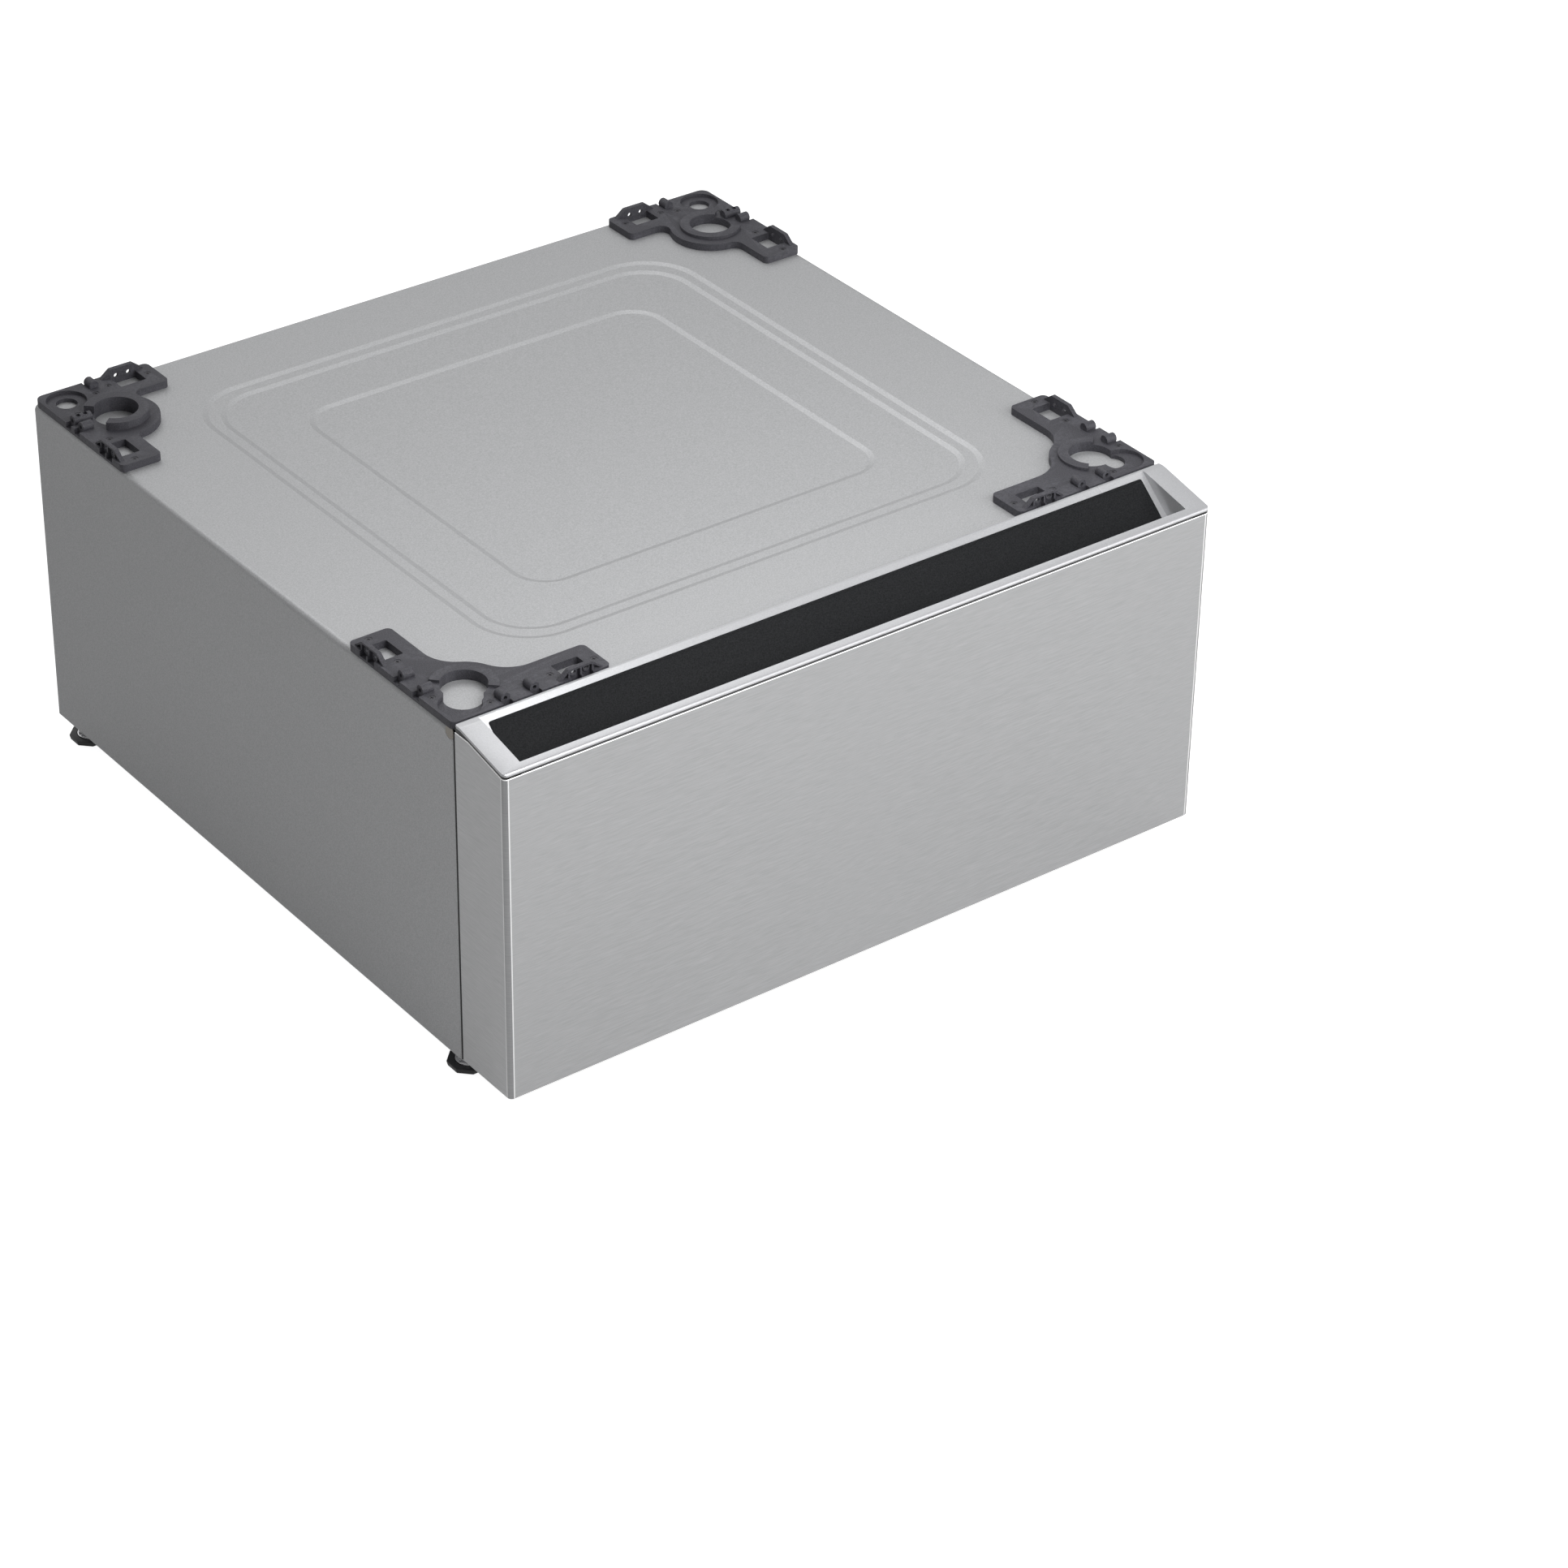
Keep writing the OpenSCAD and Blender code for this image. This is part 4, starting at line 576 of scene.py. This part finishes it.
FINISHES: dict[Slot, Finish] = {
    # The painted sheet's front rim carries near-black painted shade in the gap to the drawer.
    Slot.PAINTED_SHEET: GapShadedFinish(
        "painted_sheet", (0.415, 0.419, 0.427), 0.45, metallic=0.3, grain_scale=900.0,
        grain_depth=0.006 * MM, speckle=0.18, patches=0.02, patch_scale=2.5),
    # The charcoal plates' lighter outer edges are partly wear and partly painted highlight.
    Slot.CHARCOAL_PLASTIC: Finish(
        "charcoal_plastic", (0.055, 0.054, 0.063), 0.55, specular=0.30, grain_scale=1300.0,
        grain_depth=0.04 * MM, speckle=0.55, patches=0.04, patch_scale=14.0, wear_and_sheen=0.5,
        wear_and_sheen_colour=(0.11, 0.11, 0.125)),
    Slot.BLACKENED_SCREWS: Finish(
        "blackened_screws", (0.050, 0.049, 0.056), 0.42, metallic=0.3, grain_scale=1500.0, speckle=0.2),
    Slot.BEIGE_PLASTIC: Finish(
        "beige_plastic", (0.33, 0.305, 0.27), 0.5, grain_scale=2200.0, grain_depth=0.01 * MM, speckle=0.04),
    Slot.BRUSHED_STEEL: BrushedFinish(
        "brushed_steel", (0.457, 0.460, 0.466), 0.40, metallic=0.9, patches=0.02, patch_scale=3.0),
    Slot.BLACK_PLASTIC: Finish(
        "black_plastic", (0.02, 0.02, 0.022), 0.5, grain_scale=1200.0, speckle=0.1),
    Slot.SILVER_PLASTIC: CapFinish(
        "silver_plastic", (0.462, 0.466, 0.480), 0.28, metallic=0.28, grain_scale=900.0,
        grain_depth=0.004 * MM, speckle=0.08, patches=0.015, patch_scale=5.0),
    Slot.DARK_INSERT: Finish(
        "dark_insert", (0.0135, 0.0142, 0.0154), 0.62, specular=0.09, grain_scale=900.0,
        grain_depth=0.04 * MM, speckle=0.55),
    Slot.BUMPER_RUBBER: Finish(
        "bumper_rubber", (0.02, 0.02, 0.02), 0.8, grain_scale=900.0, speckle=0.15),
    Slot.FOOT_PLASTIC: Finish(
        "foot_plastic", (0.014, 0.014, 0.016), 0.42, grain_scale=900.0, speckle=0.15, wear_and_sheen=0.3,
        wear_and_sheen_colour=(0.05, 0.05, 0.052)),
    Slot.BALL_STEEL: Finish(
        "ball_steel", (0.80, 0.80, 0.82), 0.10, metallic=1.0, grain_depth=0.0, speckle=0.02, patches=0.03),
    Slot.CAGE_STEEL: Finish(
        "cage_steel", (0.66, 0.66, 0.68), 0.30, metallic=1.0, grain_scale=700.0,
        grain_depth=0.006 * MM, patches=0.08),
    Slot.BRIGHT_ZINC: Finish(
        "bright_zinc", (0.72, 0.72, 0.73), 0.26, metallic=1.0, grain_scale=800.0,
        grain_depth=0.008 * MM, speckle=0.08, patches=0.08, patch_scale=60.0),
    Slot.GALVANISED_SHEET: SpangledFinish(
        "galvanised_sheet", (0.50, 0.51, 0.52), 0.42, metallic=0.9, grain_depth=0.008 * MM),
}


# Dressing


def smooth(piece: bpy.types.Object) -> None:
    """Shades every face of a piece smooth."""
    piece.data.polygons.foreach_set("use_smooth", [True] * len(piece.data.polygons))


def soften(piece: bpy.types.Object, width: float, segments: int, angle: float) -> None:
    """Rounds a piece's edges with modifiers, and leaves its own mesh as it is.

    Args:
        piece: the object.
        width: the rounding's width.
        segments: faces across each rounded edge.
        angle: least angle of an edge that is rounded, in degrees.
    """
    weld = piece.modifiers.new("weld", "WELD")
    weld.merge_threshold = WELD_GAP
    flatten = piece.modifiers.new("flatten", "DECIMATE")
    flatten.decimate_type = "DISSOLVE"
    flatten.angle_limit = math.radians(FLAT_ANGLE)
    bevel = piece.modifiers.new("round", "BEVEL")
    bevel.width = width
    bevel.segments = segments
    bevel.limit_method = "ANGLE"
    bevel.angle_limit = math.radians(angle)
    bevel.use_clamp_overlap = True
    bevel.harden_normals = True


@dataclass
class Dresser:
    """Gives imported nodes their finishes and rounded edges."""

    slots: dict[str, str]

    @classmethod
    def from_record(cls, record: dict) -> "Dresser":
        """Reads each node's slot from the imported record."""
        return cls({row["node"]: row["material_slot"] for row in record["subparts"]})

    def finish(self, node: str) -> bpy.types.Object:
        """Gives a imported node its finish.

        Args:
            node: the node's name.

        Returns:
            The node's object.
        """
        piece = frame["nodes"][node]
        piece.data.materials.clear()
        piece.data.materials.append(FINISHES[Slot(self.slots[node])].material())
        LOG.info("%s: %s", node, self.slots[node])
        return piece

    def dress(
            self, nodes: Iterable[str], width: float, segments: int = 2, angle: float = CREASE_ANGLE) -> None:
        """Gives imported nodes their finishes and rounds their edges.

        Args:
            nodes: the nodes' names.
            width: the rounding's width.
            segments: faces across each rounded edge.
            angle: least angle of an edge that is rounded, in degrees.
        """
        for node in nodes:
            soften(self.finish(node), width, segments, angle)


# Sub-assemblies


@dataclass
class Cabinet:
    """The painted sheet with its stamped deck, and what is fixed inside it."""

    dresser: Dresser
    sheet_edge: float = 0.5 * MM
    step_angle: float = 9.0
    panel_edge: float = 0.6 * MM
    frame_edge: float = 0.3 * MM
    plug_edge: float = 0.4 * MM
    nut_edge: float = 0.2 * MM

    def build(self) -> None:
        """Dresses the sheet, the back panel, the frame, the posts and the plugs."""
        self.dresser.dress(["cabinet_shell"], self.sheet_edge, angle=self.step_angle)
        self.dresser.dress(["back_panel"], self.panel_edge)
        frames = ["base_frame", "top_rail", "left_slide_posts", "right_slide_posts", "leg_plates"]
        self.dresser.dress(frames, self.frame_edge)
        self.dresser.dress(["side_plugs"], self.plug_edge, 3)
        self.dresser.dress(["back_panel_screws", "weld_nuts", "lock_nuts"], self.nut_edge)


@dataclass
class CornerPlates:
    """The four moulded plates that seat the washer's feet, and their screws."""

    dresser: Dresser
    plate_edge: float = 0.7 * MM
    screw_edge: float = 0.03 * MM

    def build(self) -> None:
        """Dresses the plates and their screws."""
        self.dresser.dress([f"{corner.value}_corner_plate" for corner in Corner], self.plate_edge, 3)
        self.dresser.dress(["corner_plate_screws"], self.screw_edge)


@dataclass
class DrawerFront:
    """The steel skin, the handle bezel with its insert, the inner panel and the bumpers."""

    dresser: Dresser
    skin_edge: float = 0.38 * MM
    bezel_lip: float = 0.9 * MM
    bezel_angle: float = 20.0
    insert_edge: float = 0.25 * MM
    panel_edge: float = 0.4 * MM
    bumper_edge: float = 0.4 * MM

    def build(self) -> None:
        """Dresses the drawer's front."""
        self.dresser.dress(["front_skin"], self.skin_edge, 3)
        self.dresser.dress(["handle_bezel"], self.bezel_lip, 4, self.bezel_angle)
        self.dresser.dress(["handle_insert"], self.insert_edge)
        self.dresser.dress(["front_inner_panel"], self.panel_edge)
        self.dresser.dress(["drawer_bumpers"], self.bumper_edge, 3)


@dataclass
class DrawerBox:
    """The sheet steel box and its screws."""

    dresser: Dresser
    sheet_edge: float = 0.3 * MM
    screw_edge: float = 0.2 * MM

    def build(self) -> None:
        """Dresses the drawer's box."""
        walls = [f"drawer_{wall}_wall" for wall in ("left", "right", "back", "front")]
        self.dresser.dress(["drawer_bottom", *walls], self.sheet_edge)
        self.dresser.dress(["front_screws"], self.screw_edge)


@dataclass
class Slides:
    """The two full-extension ball slides."""

    dresser: Dresser
    member_edge: float = 0.2 * MM
    cage_edge: float = 0.1 * MM
    screw_edge: float = 0.1 * MM

    def build(self) -> None:
        """Dresses both slides."""
        for side in ("left", "right"):
            members = [f"{side}_slide_{member}" for member in ("outer", "middle", "inner")]
            self.dresser.dress(members, self.member_edge)
            for row in ("outer", "inner"):
                self.dresser.dress([f"{side}_{row}_cage"], self.cage_edge)
                smooth(self.dresser.finish(f"{side}_{row}_balls"))
        self.dresser.dress(["slide_post_screws", "slide_drawer_screws"], self.screw_edge)


@dataclass
class Legs:
    """The four levelling legs."""

    dresser: Dresser
    foot_edge: float = 0.8 * MM
    stud_edge: float = 0.3 * MM

    def build(self) -> None:
        """Dresses the feet and studs."""
        for corner in Corner:
            self.dresser.dress([f"{corner.value}_foot"], self.foot_edge, 3)
            self.dresser.dress([f"{corner.value}_stud"], self.stud_edge)


# Studio


@dataclass(frozen=True)
class Softbox:
    """A square lamp that faces a point."""

    name: str
    place: Point
    target: Point
    size: float
    watts: float

    def build(self) -> None:
        """Adds the lamp."""
        light = bpy.data.lights.new(self.name, "AREA")
        light.shape = "SQUARE"
        light.size = self.size
        light.energy = self.watts
        lamp = bpy.data.objects.new(self.name, light)
        aim = Vector(self.target) - Vector(self.place)
        lamp.location = self.place
        lamp.rotation_euler = aim.to_track_quat("-Z", "Y").to_euler()
        lamp.visible_camera = False
        bpy.context.scene.collection.objects.link(lamp)


@dataclass(frozen=True)
class Glow:
    """A soft patch of light in the sky round a direction, smaller where it is tighter."""

    direction: Point
    strength: float
    tightness: float = 8.0

    def light(self, graph: Graph, place: Socket) -> Socket:
        """Adds the patch to the sky.

        Args:
            graph: the sky's graph.
            place: the direction that is lit.

        Returns:
            The patch's brightness in that direction.
        """
        aim = tuple(Vector(self.direction).normalized())
        facing = graph.add("ShaderNodeVectorMath", {0: place, 1: aim}, operation="DOT_PRODUCT")
        ahead = graph.calc("MAXIMUM", facing.outputs["Value"], 0.0)
        return graph.calc("MULTIPLY", graph.calc("POWER", ahead, self.tightness), self.strength)


@dataclass(frozen=True)
class View:
    """The photograph's camera, solved from its straight edges. Angles are in degrees, the lens in mm."""

    place: Point = (-1.9480, -2.76885, 2.18439)
    heading: float = 37.553
    fall: float = 32.817
    roll: float = 1.0057
    lens: float = 108.405
    sensor: float = 36.0
    nearest: float = 0.1
    farthest: float = 50.0

    def build(self) -> None:
        """Adds the camera and makes it the scene's own."""
        heading, fall, roll = (math.radians(angle) for angle in (self.heading, self.fall, self.roll))
        level = Vector((math.cos(heading), -math.sin(heading), 0.0))
        ahead = Vector((
            math.sin(heading) * math.cos(fall), math.cos(heading) * math.cos(fall), -math.sin(fall)))
        right = level * math.cos(roll) + level.cross(ahead) * math.sin(roll)
        up = right.cross(ahead)
        data = bpy.data.cameras.new("view")
        data.lens = self.lens
        data.sensor_width = self.sensor
        data.sensor_fit = "HORIZONTAL"
        data.clip_start = self.nearest
        data.clip_end = self.farthest
        camera = bpy.data.objects.new("view", data)
        turn = Matrix((right, up, -ahead)).transposed().to_4x4()
        camera.matrix_world = Matrix.Translation(self.place) @ turn
        bpy.context.scene.collection.objects.link(camera)
        bpy.context.scene.camera = camera


@dataclass(frozen=True)
class Studio:
    """A pale floor, a soft sky with brighter patches, and large lamps."""

    floor_half: float = 20.0
    floor_colour: Colour = (0.50, 0.50, 0.50)
    floor_roughness: float = 0.9
    floor_glow: float = 0.90
    floor_sheen_glow: float = 0.30
    sky_glow: float = 1.0
    sky_sheen_glow: float = 0.30
    sky_all_round: float = 0.04
    sky_overhead: float = 0.04
    glows: tuple[Glow, ...] = (
        Glow((0.0, 0.7, 0.7), 1.87),
        Glow((-0.6, 0.75, 0.2), 0.38),
    )
    softboxes: tuple[Softbox, ...] = (
        Softbox("front_right", (1.4, -2.0, 1.05), (0.2, -0.34, 0.15), 2.0, 40.0),
        Softbox("over_deck", (0.3, 0.6, 1.5), (0.1, 0.2, 0.32), 0.8, 3.2),
        Softbox("over_right", (0.6, 0.25, 1.1), (0.3, 0.1, 0.32), 0.5, 0.6),
        Softbox("over_front", (0.0, -0.9, 1.1), (0.0, -0.2, 0.32), 0.6, 8.2),
        Softbox("left", (-1.4, -0.9, 0.7), (-0.34, -0.2, 0.15), 0.8, 2.5),
    )

    def seen(self, graph: Graph, straight: float, mirrored: float) -> Socket:
        """Adds a brightness that only the camera, and what is shiny or clear, can see.

        Args:
            graph: the graph of the floor or the sky.
            straight: the brightness as the camera sees it.
            mirrored: the brightness that a shiny or clear surface shows.

        Returns:
            The brightness for the ray that arrives.
        """
        path = graph.add("ShaderNodeLightPath").outputs
        indirect = graph.calc("MAXIMUM", path["Is Glossy Ray"], path["Is Transmission Ray"])
        return graph.calc(
            "MAXIMUM", graph.calc("MULTIPLY", path["Is Camera Ray"], straight),
            graph.calc("MULTIPLY", indirect, mirrored))

    def floor(self) -> None:
        """Adds the floor, white to the camera and still holding the object's shadow."""
        mesh = bmesh.new()
        bmesh.ops.create_grid(mesh, x_segments=2, y_segments=2, size=self.floor_half)
        data = bpy.data.meshes.new("floor")
        mesh.to_mesh(data)
        mesh.free()
        floor = bpy.data.objects.new("floor", data)
        bpy.context.scene.collection.objects.link(floor)
        material = bpy.data.materials.new("studio_floor")
        material.use_nodes = True
        data.materials.append(material)
        graph = Graph(material.node_tree)
        shader = graph.find("BSDF_PRINCIPLED")
        graph.give(shader.inputs["Base Color"], self.floor_colour)
        graph.give(shader.inputs["Roughness"], self.floor_roughness)
        glow = self.seen(graph, self.floor_glow, self.floor_sheen_glow)
        light = graph.add("ShaderNodeEmission", {"Color": WHITE, "Strength": glow})
        both = graph.add("ShaderNodeAddShader", {0: shader.outputs[0], 1: light.outputs[0]})
        graph.give(graph.find("OUTPUT_MATERIAL").inputs["Surface"], both.outputs[0])

    def sky(self) -> None:
        """Lights the scene from all round, most from above."""
        world = bpy.data.worlds.new("studio")
        world.use_nodes = True
        bpy.context.scene.world = world
        graph = Graph(world.node_tree)
        background = graph.find("BACKGROUND")
        graph.give(background.inputs["Color"], WHITE)
        place = graph.add("ShaderNodeTexCoord").outputs["Generated"]
        height = graph.add("ShaderNodeSeparateXYZ", {"Vector": place}).outputs["Z"]
        overhead = graph.calc("MULTIPLY", graph.calc("MAXIMUM", height, 0.0), self.sky_overhead)
        strength = graph.calc("ADD", overhead, self.sky_all_round)
        for glow in self.glows:
            strength = graph.calc("ADD", strength, glow.light(graph, place))
        shown = self.seen(graph, self.sky_glow, self.sky_sheen_glow)
        graph.give(background.inputs["Strength"], graph.calc("MAXIMUM", strength, shown))

    def build(self) -> None:
        """Sets the stage, the lamps, the camera and the view transform."""
        self.floor()
        self.sky()
        for softbox in self.softboxes:
            softbox.build()
        View().build()
        bpy.context.scene.view_settings.view_transform = "Standard"


def main() -> None:
    logging.basicConfig(level=logging.INFO, format="%(name)s: %(message)s")
    dresser = Dresser.from_record(frame["record"])
    for part in (Cabinet, CornerPlates, DrawerFront, DrawerBox, Slides, Legs):
        part(dresser).build()
    Studio().build()


if __name__ == "__main__":
    main()
